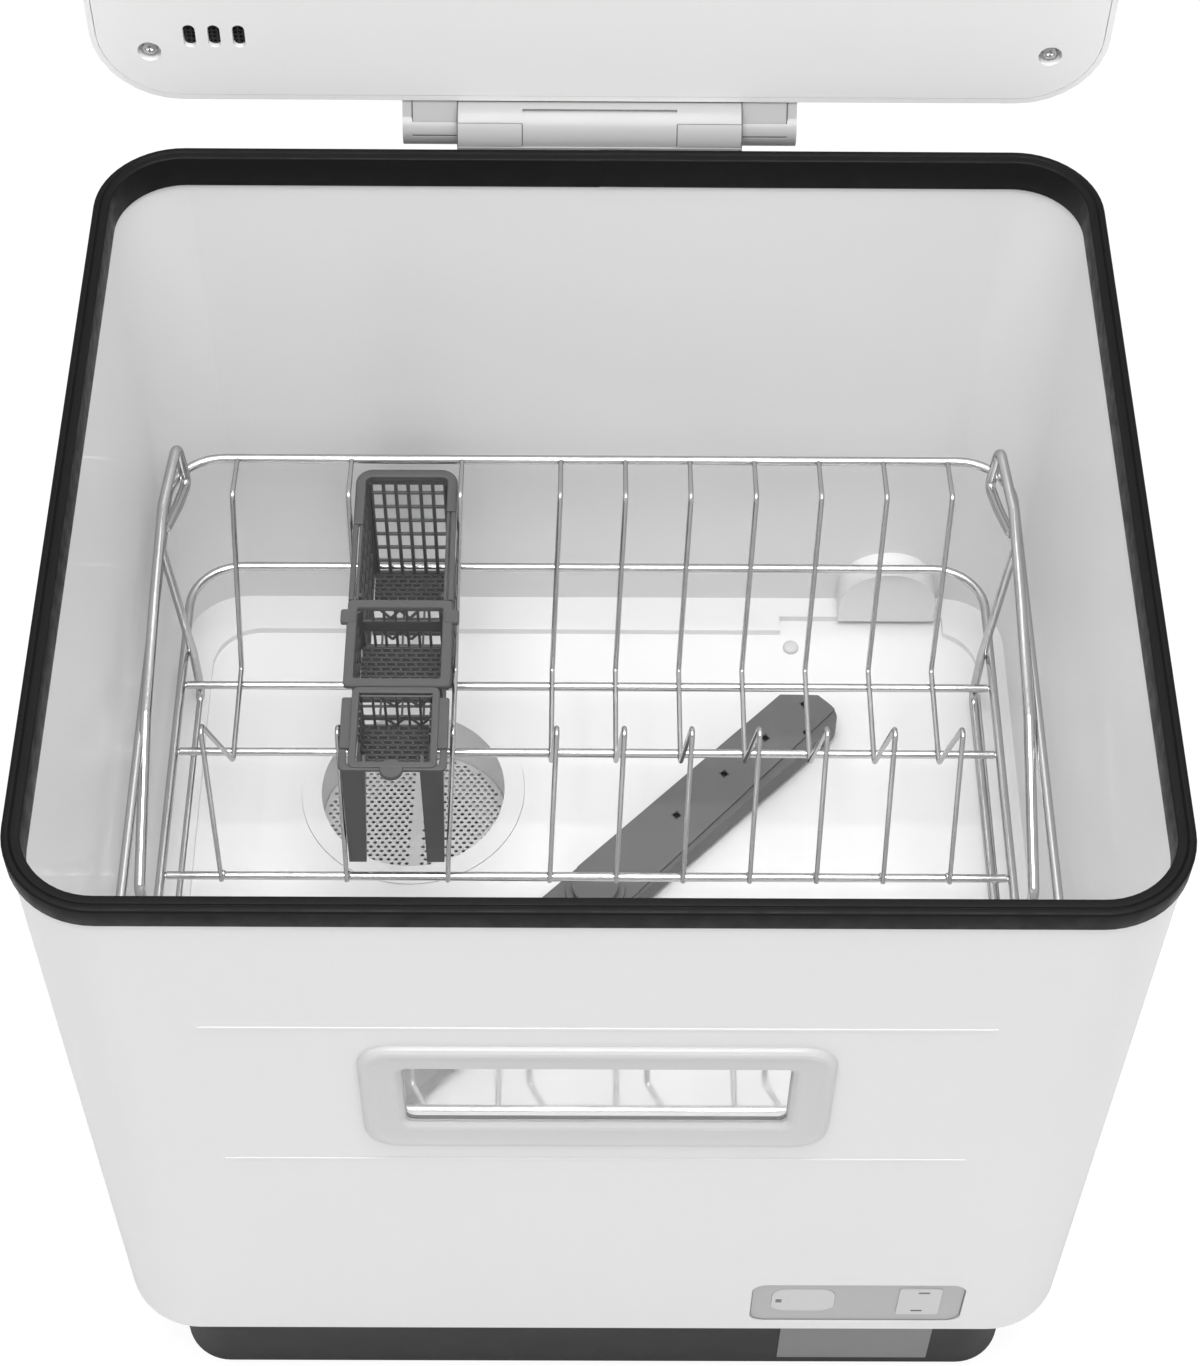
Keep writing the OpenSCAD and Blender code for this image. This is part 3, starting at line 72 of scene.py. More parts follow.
# Places taken from the frame, in millimetres
RIM_LOW, RIM_HIGH = low("rim_seal"), high("rim_seal")
BODY_Y = middle("rim_seal")[1]
RIM_W = RIM_HIGH[0] - RIM_LOW[0]
RIM_D = RIM_HIGH[1] - RIM_LOW[1]
RIM_Z = RIM_HIGH[2]
RIM_R = 36.0
TINE_R = (high("rack_runners")[2] - low("rack_runners")[2]) / 2
FRAME_R = (high("rack_top_loop")[2] - low("rack_top_loop")[2]) / 2
LOOP_Z = middle("rack_top_loop")[2]
CROSS_Z = middle("rack_cross_wires")[2]
TINE_Z = middle("rack_runners")[2]
FLOOR_Z = low("rack_feet")[2]
RACK_X = high("rack_top_loop")[0] - FRAME_R
LOW_X = high("rack_bottom_loop")[0] - FRAME_R
RACK_BACK = high("rack_top_loop")[1] - FRAME_R
RACK_FRONT = low("rack_top_loop")[1] + FRAME_R


# Materials

def new_material(name, color, roughness, metallic=0.0):
    """A material with its node tree, its shader and its Object coordinates."""
    material = bpy.data.materials.new(name)
    material.use_nodes = True
    tree = material.node_tree
    shader = tree.nodes["Principled BSDF"]
    shader.inputs["Base Color"].default_value = (*color, 1.0)
    shader.inputs["Roughness"].default_value = roughness
    shader.inputs["Metallic"].default_value = metallic
    place = tree.nodes.new("ShaderNodeTexCoord")
    return material, tree, shader, place.outputs["Object"]


def noise(tree, place, scale, detail=3.0, stretch=None):
    """A noise value over Object coordinates, drawn out along one axis if asked."""
    if stretch:
        mapping = tree.nodes.new("ShaderNodeMapping")
        mapping.inputs["Scale"].default_value = stretch
        tree.links.new(place, mapping.inputs["Vector"])
        place = mapping.outputs["Vector"]
    node = tree.nodes.new("ShaderNodeTexNoise")
    node.inputs["Scale"].default_value = scale
    node.inputs["Detail"].default_value = detail
    tree.links.new(place, node.inputs["Vector"])
    return node.outputs["Fac"]


def spread(tree, value, low_value, high_value):
    """Draws the middle of a noise value, from 0.3 to 0.7, out onto a range."""
    node = tree.nodes.new("ShaderNodeMapRange")
    node.inputs["From Min"].default_value = 0.3
    node.inputs["From Max"].default_value = 0.7
    node.inputs["To Min"].default_value = low_value
    node.inputs["To Max"].default_value = high_value
    tree.links.new(value, node.inputs["Value"])
    return node.outputs["Result"]


def tint(tree, value, dark, light):
    """A colour between two, chosen by a value."""
    node = tree.nodes.new("ShaderNodeMix")
    node.data_type = "RGBA"
    node.inputs["A"].default_value = (*dark, 1.0)
    node.inputs["B"].default_value = (*light, 1.0)
    tree.links.new(value, node.inputs["Factor"])
    return node.outputs["Result"]


def bump(tree, shader, value, strength, distance):
    """Raises the surface by a value."""
    node = tree.nodes.new("ShaderNodeBump")
    node.inputs["Strength"].default_value = strength
    node.inputs["Distance"].default_value = distance
    tree.links.new(value, node.inputs["Height"])
    tree.links.new(node.outputs["Normal"], shader.inputs["Normal"])


CLOUDING = 0.02


def plastic(name, color, roughness, grain=900.0, relief=0.02, coat=0.0, shine=0.5):
    """Moulded plastic: a fine grain, slow clouding of its colour and slightly uneven gloss."""
    material, tree, shader, place = new_material(name, color, roughness)
    cloud = noise(tree, place, 9.0)
    dark = [c * (1.0 - CLOUDING) for c in color]
    tree.links.new(tint(tree, cloud, dark, color), shader.inputs["Base Color"])
    wear = noise(tree, place, 60.0, 6.0)
    tree.links.new(spread(tree, wear, roughness * 0.95, roughness * 1.05), shader.inputs["Roughness"])
    bump(tree, shader, noise(tree, place, grain, 2.0), relief, 0.00003)
    shader.inputs["Specular IOR Level"].default_value = shine
    shader.inputs["Coat Weight"].default_value = coat
    shader.inputs["Coat Roughness"].default_value = 0.08
    return material


def rubber(name, color, roughness):
    """Rubber: matt, with a fine powdery grain and a faint sheen."""
    material, tree, shader, place = new_material(name, color, roughness)
    cloud = noise(tree, place, 25.0, 5.0)
    light = [min(1.0, c * 1.25) for c in color]
    tree.links.new(tint(tree, cloud, color, light), shader.inputs["Base Color"])
    tree.links.new(spread(tree, noise(tree, place, 140.0), roughness * 0.8, roughness * 1.15),
                   shader.inputs["Roughness"])
    bump(tree, shader, noise(tree, place, 1500.0, 2.0), 0.2, 0.0001)
    shader.inputs["Specular IOR Level"].default_value = 0.15
    return material


def steel(name, color, roughness, stretch=(1.0, 1.0, 1.0), scratch=0.12, rim=0.8, metallic=1.0):
    """Steel: drawing marks, small changes of gloss, and painted dark reflection: a colour that darkens where
    the surface turns away from the view.
    """
    material, tree, shader, place = new_material(name, color, roughness, metallic)
    marks = noise(tree, place, 500.0, 4.0, stretch)
    tree.links.new(spread(tree, marks, roughness * 0.8, roughness * 1.25), shader.inputs["Roughness"])
    dark = [c * 0.85 for c in color]
    worn = tint(tree, noise(tree, place, 40.0), dark, color)
    # Painted dark reflection: towards grazing angles the colour falls to rim times itself, standing in for
    # dark surroundings seen in the steel.
    facing = tree.nodes.new("ShaderNodeLayerWeight")
    facing.inputs["Blend"].default_value = 0.4
    turned = tree.nodes.new("ShaderNodeMix")
    turned.data_type = "RGBA"
    turned.inputs["B"].default_value = (*[c * rim for c in color], 1.0)
    tree.links.new(facing.outputs["Facing"], turned.inputs["Factor"])
    tree.links.new(worn, turned.inputs["A"])
    tree.links.new(turned.outputs["Result"], shader.inputs["Base Color"])
    bump(tree, shader, marks, scratch, 0.00002)
    return material


def clear_plastic(name, color):
    """The clear pane: slightly tinted, with faint smears that change its gloss."""
    material, tree, shader, place = new_material(name, color, 0.03)
    shader.inputs["Transmission Weight"].default_value = 0.95
    shader.inputs["IOR"].default_value = 1.45
    smear = noise(tree, place, 20.0, 6.0, (1.0, 1.0, 4.0))
    tree.links.new(spread(tree, smear, 0.02, 0.09), shader.inputs["Roughness"])
    bump(tree, shader, noise(tree, place, 6.0), 0.05, 0.0002)
    return material


def grey(value):
    """A neutral colour."""
    return (value, value, value)


materials = {
    "white_shell": plastic("shell_white", grey(0.80), 0.35, coat=0.25),
    "white_tub": plastic("tub_white", grey(0.80), 0.4, coat=0.1),
    "dark_seal": rubber("seal_rubber", grey(0.004), 0.5),
    "dark_base": plastic("base_plastic", grey(0.014), 0.5, 600.0, 0.2, shine=0.3),
    "foot_rubber": rubber("foot_rubber", grey(0.015), 0.7),
    # The steels' rim numbers (0.12 for the rack, 0.9 for the filter, 0.8 for the rest) set their painted
    # dark reflection at grazing edges.
    "steel_wire": steel("rack_steel", grey(0.86), 0.16, (1.0, 1.0, 1.0), 0.03, 0.12),
    "mesh_steel": steel("filter_steel", grey(0.86), 0.42, (30.0, 1.0, 1.0), 0.05, 0.9, 0.4),
    "grey_basket": plastic("basket_plastic", grey(0.095), 0.45, shine=0.25),
    "grey_arm": plastic("arm_plastic", grey(0.15), 0.45, shine=0.2),
    "hinge_grey": plastic("hinge_plastic", grey(0.36), 0.4, coat=0.05),
    "clear_pane": clear_plastic("pane_clear", grey(0.95)),
    "panel_grey": plastic("panel_plastic", grey(0.46), 0.4, 1200.0),
    "lens_grey": plastic("lens_plastic", grey(0.6), 0.25, coat=0.3),
    "key_grey": plastic("key_plastic", grey(0.62), 0.35, 1200.0),
    "plate_grey": plastic("plate_grey", grey(0.22), 0.45, 1500.0),
    "zinc_steel": steel("zinc_steel", grey(0.55), 0.3),
    "hose_black": rubber("hose_rubber", grey(0.02), 0.6),
    "pump_plastic": plastic("pump_plastic", grey(0.1), 0.5, 500.0, 0.2),
    "motor_metal": steel("motor_can", grey(0.35), 0.45),
    "pipe_plastic": plastic("pipe_plastic", grey(0.6), 0.4),
    "board_green": plastic("board_laminate", (0.02, 0.1, 0.04), 0.35),
}


def dress(obj, material):
    """Gives a piece its only material."""
    obj.data.materials.clear()
    obj.data.materials.append(material)


for name, node in nodes.items():
    dress(node, materials[slots[name]])


# Pieces and surfaces

def piece(name, body, slot, points, faces, smooth_angle=40.0):
    """A mesh piece that rides on a body. Points are in millimetres in the row's frame."""
    mesh = bpy.data.meshes.new(name)
    mesh.from_pydata((np.asarray(points) * MM).tolist(), [], [list(f) for f in faces])
    mesh.polygons.foreach_set("use_smooth", np.ones(len(mesh.polygons), bool))
    mesh.set_sharp_from_angle(angle=math.radians(smooth_angle))
    mesh.validate()
    obj = bpy.data.objects.new(name, mesh)
    bpy.context.scene.collection.objects.link(obj)
    dress(obj, materials[slot])
    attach(obj, body)
    return obj


def grid_faces(rows, columns, close_rows=False):
    """Quads between neighbouring points of a grid of rows by columns, each row closed on itself."""
    i = np.arange(rows if close_rows else rows - 1)[:, None]
    j = np.arange(columns)[None, :]
    a = i * columns + j
    b = i * columns + (j + 1) % columns
    c = ((i + 1) % rows) * columns + (j + 1) % columns
    d = ((i + 1) % rows) * columns + j
    return np.stack([a, b, c, d], -1).reshape(-1, 4)


def end_caps(rows, columns):
    """The two faces that close the first and the last row of a grid."""
    return [list(range(columns))[::-1], [(rows - 1) * columns + k for k in range(columns)]]


def joined(parts):
    """Several (points, faces) put into one mesh."""
    points, faces, start = [], [], 0
    for p, f in parts:
        points.append(np.asarray(p))
        faces += [[k + start for k in face] for face in (f.tolist() if hasattr(f, "tolist") else f)]
        start += len(p)
    return np.concatenate(points), faces


BEND_STEPS = 8


def bent_path(corners, radius):
    """A path through corner points, with an arc of the given radius at each corner.

    An arc starts and ends radius * tan(half its turn) away from its corner."""
    p = np.asarray(corners, float)
    path = [p[0]]
    for k in range(1, len(p) - 1):
        a = (p[k] - p[k - 1]) / np.linalg.norm(p[k] - p[k - 1])
        b = (p[k + 1] - p[k]) / np.linalg.norm(p[k + 1] - p[k])
        turn = math.acos(max(-1.0, min(1.0, float(a @ b))))
        reach = radius * math.tan(turn / 2)
        side = b - a * math.cos(turn)
        side /= np.linalg.norm(side)
        t = np.linspace(0.0, turn, BEND_STEPS + 1)[:, None]
        start = p[k] - a * reach
        path.extend(start + a * radius * np.sin(t) + side * radius * (1 - np.cos(t)))
    path.append(p[-1])
    return np.array(path)


DOME_DEPTH = 0.6


def tube(path, radius, sides=14):
    """A round section carried along a path, with domed ends.

    The ring at each point stands square to the path and starts from the side that is nearest to +X, or
    to +Z where the path runs along X. At each end three rings draw in by the cosine of their angle."""
    p = np.asarray(path, float)
    ahead = np.gradient(p, axis=0)
    ahead /= np.linalg.norm(ahead, axis=1)[:, None]
    ahead[0] = (p[1] - p[0]) / np.linalg.norm(p[1] - p[0])
    ahead[-1] = (p[-1] - p[-2]) / np.linalg.norm(p[-1] - p[-2])
    reference = np.array([1.0, 0.0, 0.0])
    if abs(ahead[:, 0]).max() > 0.9:
        reference = np.array([0.0, 0.0, 1.0])
    n = reference - ahead * (ahead @ reference)[:, None]
    n /= np.linalg.norm(n, axis=1)[:, None]
    b = np.cross(ahead, n)
    dome = np.radians([85.0, 60.0, 30.0])
    reach = radius * (1 - np.sin(dome))[:, None] * DOME_DEPTH
    centre = np.concatenate([p[0] + ahead[0] * reach, p[1:-1], p[-1] - ahead[-1] * reach[::-1]])
    size = np.concatenate([radius * np.cos(dome), np.full(len(p) - 2, radius), radius * np.cos(dome[::-1])])
    n = np.concatenate([n[:1].repeat(3, 0), n[1:-1], n[-1:].repeat(3, 0)])
    b = np.concatenate([b[:1].repeat(3, 0), b[1:-1], b[-1:].repeat(3, 0)])
    t = np.linspace(0.0, 2 * np.pi, sides, endpoint=False)
    ring = np.cos(t)[None, :, None] * n[:, None, :] + np.sin(t)[None, :, None] * b[:, None, :]
    points = centre[:, None, :] + size[:, None, None] * ring
    rows = len(centre)
    return points.reshape(-1, 3), grid_faces(rows, sides).tolist() + end_caps(rows, sides)


def round_outline(w, d, r, steps=12):
    """Points and outward normals round a rectangle with round corners, counter-clockwise from +X.

    Each corner is its arc's middle plus r times the normal, which turns by a quarter turn."""
    t = np.linspace(0.0, np.pi / 2, steps + 1)
    points, normals = [], []
    for k, (sx, sy) in enumerate([(1, 1), (-1, 1), (-1, -1), (1, -1)]):
        a = t + k * np.pi / 2
        n = np.stack([np.cos(a), np.sin(a)], -1)
        points.append(np.array([sx * (w / 2 - r), sy * (d / 2 - r)]) + r * n)
        normals.append(n)
    return np.concatenate(points), np.concatenate(normals)


def carried(profile, path, facing):
    """The points of a closed profile of (outward, up) points, and their count, along a level path.

    Each point is the path's point, plus outward times the way it faces, plus up along Z. The profile is
    turned round if it runs counter-clockwise, so that its faces point outwards."""
    out, up = np.asarray(profile, float).T
    if out @ np.roll(up, -1) > up @ np.roll(out, -1):
        out, up = out[::-1], up[::-1]
    flat = path[:, None, :] + facing[:, None, :] * out[None, :, None]
    rise = np.broadcast_to(up[None, :], flat.shape[:2])
    return np.concatenate([flat, rise[..., None]], -1).reshape(-1, 3), len(out)


def carried_round(profile, w, d, r, centre):
    """A closed profile carried round a level rectangle with round corners."""
    path, facing = round_outline(w, d, r)
    points, count = carried(profile, path, facing)
    return points + np.asarray(centre, float), grid_faces(len(path), count, True)


def carried_open(profile, path, facing, z):
    """A closed profile carried along an open level path at height z, with closed ends."""
    points, count = carried(profile, path, facing)
    faces = grid_faces(len(path), count).tolist() + end_caps(len(path), count)
    return points + np.array([0.0, 0.0, z]), faces


def rounded_corners(corners, radius, steps):
    """A closed outline of 2-D corner points with each corner rounded by an arc."""
    p = np.asarray(corners, float)
    radii = np.broadcast_to(radius, len(p))
    out = []
    for k in range(len(p)):
        before, here, after = p[k - 1], p[k], p[(k + 1) % len(p)]
        a = (here - before) / np.linalg.norm(here - before)
        b = (after - here) / np.linalg.norm(after - here)
        turn = math.acos(max(-1.0, min(1.0, float(a @ b))))
        if radii[k] <= 0 or turn < 1e-3:
            out.append(here[None])
            continue
        reach = radii[k] * math.tan(turn / 2)
        side = (b - a * math.cos(turn)) / math.sin(turn)
        t = np.linspace(0.0, turn, steps + 1)[:, None]
        out.append(here - a * reach + a * radii[k] * np.sin(t) + side * radii[k] * (1 - np.cos(t)))
    return np.concatenate(out)


def lofted(rings, centre, plane="XZ", closed=False, steps=10):
    """A skin through rings (w, d, r, up): rectangles with round corners that stand up from a plane.

    In plane XZ up is towards the front. A closed skin joins its last ring to its first, and an open
    one has both ends filled."""
    rows = []
    for w, d, r, rise in rings:
        p, _ = round_outline(w, d, r, steps)
        level = np.full(len(p), float(rise))
        rows.append(np.column_stack([p[:, 0], -level, p[:, 1]] if plane == "XZ" else [p, level]))
    count = len(rows[0])
    faces = grid_faces(len(rows), count, closed).tolist()
    if not closed:
        faces += end_caps(len(rows), count)
    return np.concatenate(rows) + np.asarray(centre, float), faces


def revolved(profile, place):
    """A profile of (radius, height) points turned round an upright axis, its last point at the middle."""
    sides = 32
    r, z = np.asarray(profile[:-1], float).T
    t = np.linspace(0, 2 * np.pi, sides, endpoint=False)
    level = np.broadcast_to(z[:, None], (len(r), sides))
    ring = np.stack([r[:, None] * np.cos(t), r[:, None] * np.sin(t), level], -1)
    tip = np.array([[profile[-1][0], 0.0, profile[-1][1]]])
    faces = grid_faces(len(r), sides).tolist()
    base = (len(r) - 1) * sides
    faces += [[base + k, base + (k + 1) % sides, len(r) * sides] for k in range(sides)]
    return np.concatenate([ring.reshape(-1, 3), tip]) + np.asarray(place, float), faces


WIRE_GAP = 5.0


def wire_middles(node):
    """The middles along X of a node's wires, told apart by the gaps of over WIRE_GAP between them."""
    mesh = nodes[node].data
    points = np.empty(3 * len(mesh.vertices))
    mesh.vertices.foreach_get("co", points)
    x = np.unique(np.round(points.reshape(-1, 3)[:, 0] / MM, 2))
    ends = np.flatnonzero(np.diff(x) > WIRE_GAP)
    return (x[np.append(0, ends + 1)] + x[np.append(ends, len(x) - 1)]) / 2


# Dish rack: smooth wires

# Bends of the two loops, and the cross wires from the back to the front
LOOP_BEND = 25.0
CROSS_YS = [RACK_BACK - 73.6, RACK_BACK - 112.7, RACK_BACK - 182.3,
            RACK_FRONT + 111.3, RACK_FRONT + 37.3]

# The plate tines' places, and how far each one's foot and tip stand to the right of its top end
PLATE_XS = wire_middles("rack_plate_tines")
LEANS = [(-1.0, -8.5), (2.2, -0.8)] + [(-4.0, -0.6)] * (len(PLATE_XS) - 2)
PLATE_RISE = 61.0

# The bowl tines' places: each one steps BOWL_STEP to the left before it rises
BOWL_STEP = 7.0
BOWL_XS = wire_middles("rack_bowl_tines") - BOWL_STEP / 2
BOWL_RISE = 48.0
TINE_BEND = 3.0
RUNNER_XS = wire_middles("rack_runners")
GRIP_R = 2.5
WELD_GAP = 0.15

# The left side stands further out than the right one, from SPREAD_FROM on and in full SPREAD_OVER later
LEFT_OUT = 8.0
LOOP_OUT = 5.5
SPREAD_FROM = 120.0
SPREAD_OVER = 60.0


def loop_path(half_w, z):
    """A closed level loop with round corners, as deep as the rack."""
    p, _ = round_outline(2 * half_w, RACK_BACK - RACK_FRONT, LOOP_BEND, 10)
    return np.column_stack([p[:, 0], p[:, 1] + (RACK_FRONT + RACK_BACK) / 2, np.full(len(p), z)])


def closed_tube(path, radius):
    """A round section carried along a closed level path: path + radius (side cos t - up sin t)."""
    sides = 16
    p = np.asarray(path)
    ahead = np.roll(p, -1, 0) - np.roll(p, 1, 0)
    ahead /= np.linalg.norm(ahead, axis=1)[:, None]
    up = np.array([0.0, 0.0, 1.0])
    side = np.cross(ahead, up)
    t = np.linspace(0.0, 2 * np.pi, sides, endpoint=False)
    ring = np.cos(t)[None, :, None] * side[:, None, :] - np.sin(t)[None, :, None] * up
    points = p[:, None, :] + radius * ring
    return points.reshape(-1, 3), grid_faces(len(p), sides, True)


def spread_left(path, reach=LEFT_OUT):
    """The path with its left end moved out: x falls by reach times a ramp from 0 to 1."""
    path = np.array(path, float)
    path[:, 0] -= reach * np.clip((-path[:, 0] - SPREAD_FROM) / SPREAD_OVER, 0, 1)
    return path


def top_loop():
    """The rack's top frame wire, carried round a level rectangle with round corners."""
    points, faces = closed_tube(spread_left(loop_path(RACK_X, LOOP_Z), LOOP_OUT), FRAME_R)
    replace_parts(piece("top_frame_wire", "dish_rack", "steel_wire", points, faces), "rack_top_loop")


def bottom_loop():
    """The rack's bottom frame wire, carried as the top one."""
    points, faces = closed_tube(spread_left(loop_path(LOW_X, CROSS_Z)), FRAME_R)
    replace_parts(piece("bottom_frame_wire", "dish_rack", "steel_wire", points, faces), "rack_bottom_loop")


def cross_wires():
    """The five straight wires across the rack."""
    reach = high("rack_cross_wires")[0]
    wires = [[[x, y, CROSS_Z] for x in (-reach - LEFT_OUT, 0, reach)] for y in CROSS_YS]
    points, faces = joined(tube(wire, FRAME_R) for wire in wires)
    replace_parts(piece("cross_wires", "dish_rack", "steel_wire", points, faces), "rack_cross_wires")


def plate_tine(x, foot, tip):
    """One plate tine: down from the top loop, along the cross wires, then up to a bowed tip and down.

    Its foot and its tip stand to the right of its top end by the given steps."""
    return bent_path([[x, RACK_BACK - FRAME_R - 0.1, LOOP_Z + 2], [x, RACK_BACK - 28, LOOP_Z + 7],
                      [x + foot, RACK_BACK - 66, TINE_Z], [x + foot, CROSS_YS[1] - 7.3, TINE_Z],
                      [x + tip, CROSS_YS[1] - 29.3, TINE_Z + PLATE_RISE],
                      [x + foot, CROSS_YS[2] - 5.5, TINE_Z]], TINE_BEND)


def bowl_tine(x):
    """One bowl tine: in from the front, a sideways step, up to a bowed tip and down."""
    start = x + BOWL_STEP
    return bent_path([[start, RACK_FRONT + FRAME_R + 0.2, TINE_Z], [start, CROSS_YS[4] + 4.5, TINE_Z],
                      [x, CROSS_YS[4] + 17.5, TINE_Z], [x, CROSS_YS[3] - 31, TINE_Z + BOWL_RISE],
                      [x, CROSS_YS[3] - 6, TINE_Z], [x, CROSS_YS[3] + 6, TINE_Z]], TINE_BEND)


def tines():
    """All the tines and runners, as round wires with domed ends."""
    paths = [plate_tine(x, *lean) for x, lean in zip(PLATE_XS, LEANS)]
    points, faces = joined(tube(path, TINE_R, 12) for path in paths)
    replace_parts(piece("plate_tines", "dish_rack", "steel_wire", points, faces), "rack_plate_tines")
    points, faces = joined(tube(bowl_tine(x), TINE_R, 12) for x in BOWL_XS)
    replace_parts(piece("bowl_tines", "dish_rack", "steel_wire", points, faces), "rack_bowl_tines")
    ys = [corner("rack_runners")[1] for corner in (low, middle, high)]
    points, faces = joined(tube([[x, y, TINE_Z] for y in ys], TINE_R, 12) for x in RUNNER_XS)
    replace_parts(piece("runner_wires", "dish_rack", "steel_wire", points, faces), "rack_runners")


def side_frames():
    """The two bent wires that the rack stands on: two legs and a rail along the tub floor."""
    in_x = LOW_X - 2 * FRAME_R - 0.05
    top_x = RACK_X - 2 * FRAME_R - WELD_GAP
    back, front = RACK_BACK - 64, RACK_FRONT + 29.5
    rail_z = FLOOR_Z + FRAME_R
    spots = [(top_x, back, high("rack_feet")[2] - 0.7), (in_x, back + 9, CROSS_Z),
             (in_x + 3, back + 24, rail_z), (in_x + 4.2, front - 4, rail_z),
             (in_x, front + 2, CROSS_Z), (top_x, front, LOOP_Z + FRAME_R)]
    paths = [bent_path([[s * x, y, z] for x, y, z in spots], 6.0) for s in (-1, 1)]
    points, faces = joined(tube(spread_left(path), FRAME_R) for path in paths)
    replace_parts(piece("side_frames", "dish_rack", "steel_wire", points, faces), "rack_feet")


def handles():
    """The two handles: a folded hook at the back, a long arch, and a leg down to the bottom loop.

    Each spot is (x, y from the back of the rack, z from the top loop)."""
    side = RACK_X - FRAME_R - GRIP_R - WELD_GAP
    foot = LOW_X - FRAME_R - GRIP_R - WELD_GAP
    hook = [(side - 1.2, -56, 14), (side - 4.2, -34, 6), (side - 6, -15, 0), (side - 3.5, -12, 23)]
    arch = [(side, -47, 21), (side, -95, 15), (side, -152, 4), (side - 1, -226, -23)]
    leg = [(side - 3, -240, -60), (foot, -248, CROSS_Z - LOOP_Z - 3)]
    paths = [bent_path([[s * x, RACK_BACK + y, LOOP_Z + z] for x, y, z in hook + arch + leg], 4.0)
             for s in (-1, 1)]
    points, faces = joined(tube(spread_left(path), GRIP_R) for path in paths)
    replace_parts(piece("handle_wires", "dish_rack", "steel_wire", points, faces), "rack_handles")


BEAD_SIZE = np.array([1.6, 1.6, 1.1])


def bead(place):
    """A weld bead: a small flattened globe of six rings, ring cos(height) + up sin(height)."""
    sides = 10
    t = np.linspace(0, 2 * np.pi, sides, endpoint=False)
    h = np.radians([-75, -45, -15, 15, 45, 75])
    ring = np.stack([np.cos(t), np.sin(t), np.zeros(sides)], -1)
    ball = np.cos(h)[:, None, None] * ring + np.sin(h)[:, None, None] * np.array([0.0, 0.0, 1.0])
    faces = grid_faces(len(h), sides).tolist() + end_caps(len(h), sides)
    return ball.reshape(-1, 3) * BEAD_SIZE + np.asarray(place), faces


def weld_beads():
    """Small beads of melted steel where the wires of the rack cross and touch."""
    touch = (CROSS_Z + FRAME_R + TINE_Z - TINE_R) / 2
    spots = [(x + foot, y, touch) for x, (foot, _) in zip(PLATE_XS, LEANS) for y in CROSS_YS[:3]]
    spots += [(x, CROSS_YS[3], touch) for x in BOWL_XS]
    spots += [(x + BOWL_STEP, CROSS_YS[4], touch) for x in BOWL_XS]
    spots += [(x, y, touch) for x in RUNNER_XS for y in CROSS_YS[3:]]
    spots += [(x, RACK_BACK - FRAME_R - 0.3, LOOP_Z + 1.5) for x in PLATE_XS]
    ends = LOW_X - FRAME_R, FRAME_R - LOW_X - LEFT_OUT
    spots += [(x, y, CROSS_Z) for x in ends for y in CROSS_YS]
    points, faces = joined(bead(spot) for spot in spots)
    piece("weld_beads", "dish_rack", "steel_wire", points, faces)


top_loop()
bottom_loop()
cross_wires()
tines()
side_frames()
handles()
weld_beads()


# Rim seal

TUB_WALL = 1.8
SEAL_GAP = 0.15
SEAM_STEP = 0.5
SEAM_SLIDE = 0.6
SEAM_RUN = 60.0


def rim_gasket():
    """A seal section with a groove, carried round the rim and cut at the back, where its ends meet.

    Within SEAM_RUN of the seam one end rises by SEAM_STEP times the square of its closeness to it, and
    moves forward by SEAM_SLIDE of its rise. The whole seal lies half a step lower."""
    wall_in = RIM_W / 2 - (high("wash_tub")[0] - TUB_WALL - SEAL_GAP)
    lip = RIM_LOW[2] - RIM_Z
    section = rounded_corners(
        [[0, -10], [0, 0], [-2.6, 0], [-3.1, -0.7], [-3.6, 0], [-wall_in - 1.2, 0], [-wall_in - 1.2, lip],
         [-wall_in, lip], [-wall_in, -2.6], [-1.35, -2.6], [-1.35, -10]],
        [0.5, 1.1, 0.2, 0.2, 0.2, 0.8, 0.4, 0.3, 0.3, 0.3, 0.3], 3)
    outline, outward = round_outline(RIM_W, RIM_D, RIM_R, 14)
    start = np.argmax((outline[:, 0] < 0) & (outline[:, 1] > 0))
    outline = np.roll(outline, -start, 0)
    outward = np.roll(outward, -start, 0)
    back, steps = RIM_D / 2, 12
    run = np.linspace(0, 1, steps + 1)[:, None] * (RIM_W / 2 - RIM_R)
    level = np.full((steps, 1), back)
    path = np.concatenate([np.hstack([-run[:-1], level]), outline, np.hstack([run[::-1][1:], level])])
    backwards = np.tile([0.0, 1.0], (steps, 1))
    facing = np.concatenate([backwards, outward, backwards])
    last_end = np.arange(len(path)) >= len(path) - steps
    lift = np.where(last_end, SEAM_STEP * np.clip(1 - path[:, 0] / SEAM_RUN, 0, 1) ** 2, 0.0)
    out, up = section[::-1].T
    flat = path[:, None, :] + facing[:, None, :] * out[None, :, None]
    flat[..., 1] -= lift[:, None] * SEAM_SLIDE
    rise = RIM_Z + up[None, :] - SEAM_STEP / 2 + lift[:, None]
    points = np.concatenate([flat, rise[..., None]], -1).reshape(-1, 3) + np.array([0.0, BODY_Y, 0.0])
    faces = grid_faces(len(path), len(out)).tolist() + end_caps(len(path), len(out))
    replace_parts(piece("rim_gasket", "cabinet", "dark_seal", points, faces), "rim_seal")


rim_gasket()


# Filter plate

PLATE_R = (high("filter_mesh")[0] - low("filter_mesh")[0]) / 2
FILTER_X = middle("filter_mesh")[0]
FILTER_Y = middle("filter_ring")[1]
FILTER_Z = FLOOR_Z - 19.0
FILTER_SLOPE = -0.36
HOLE_PITCH = 3.65
HOLE_R = 1.02
PLAIN_EDGE = 2.4
BAND_X = 2.0
BAND_HALF = 3.2
SHEET = 1.0


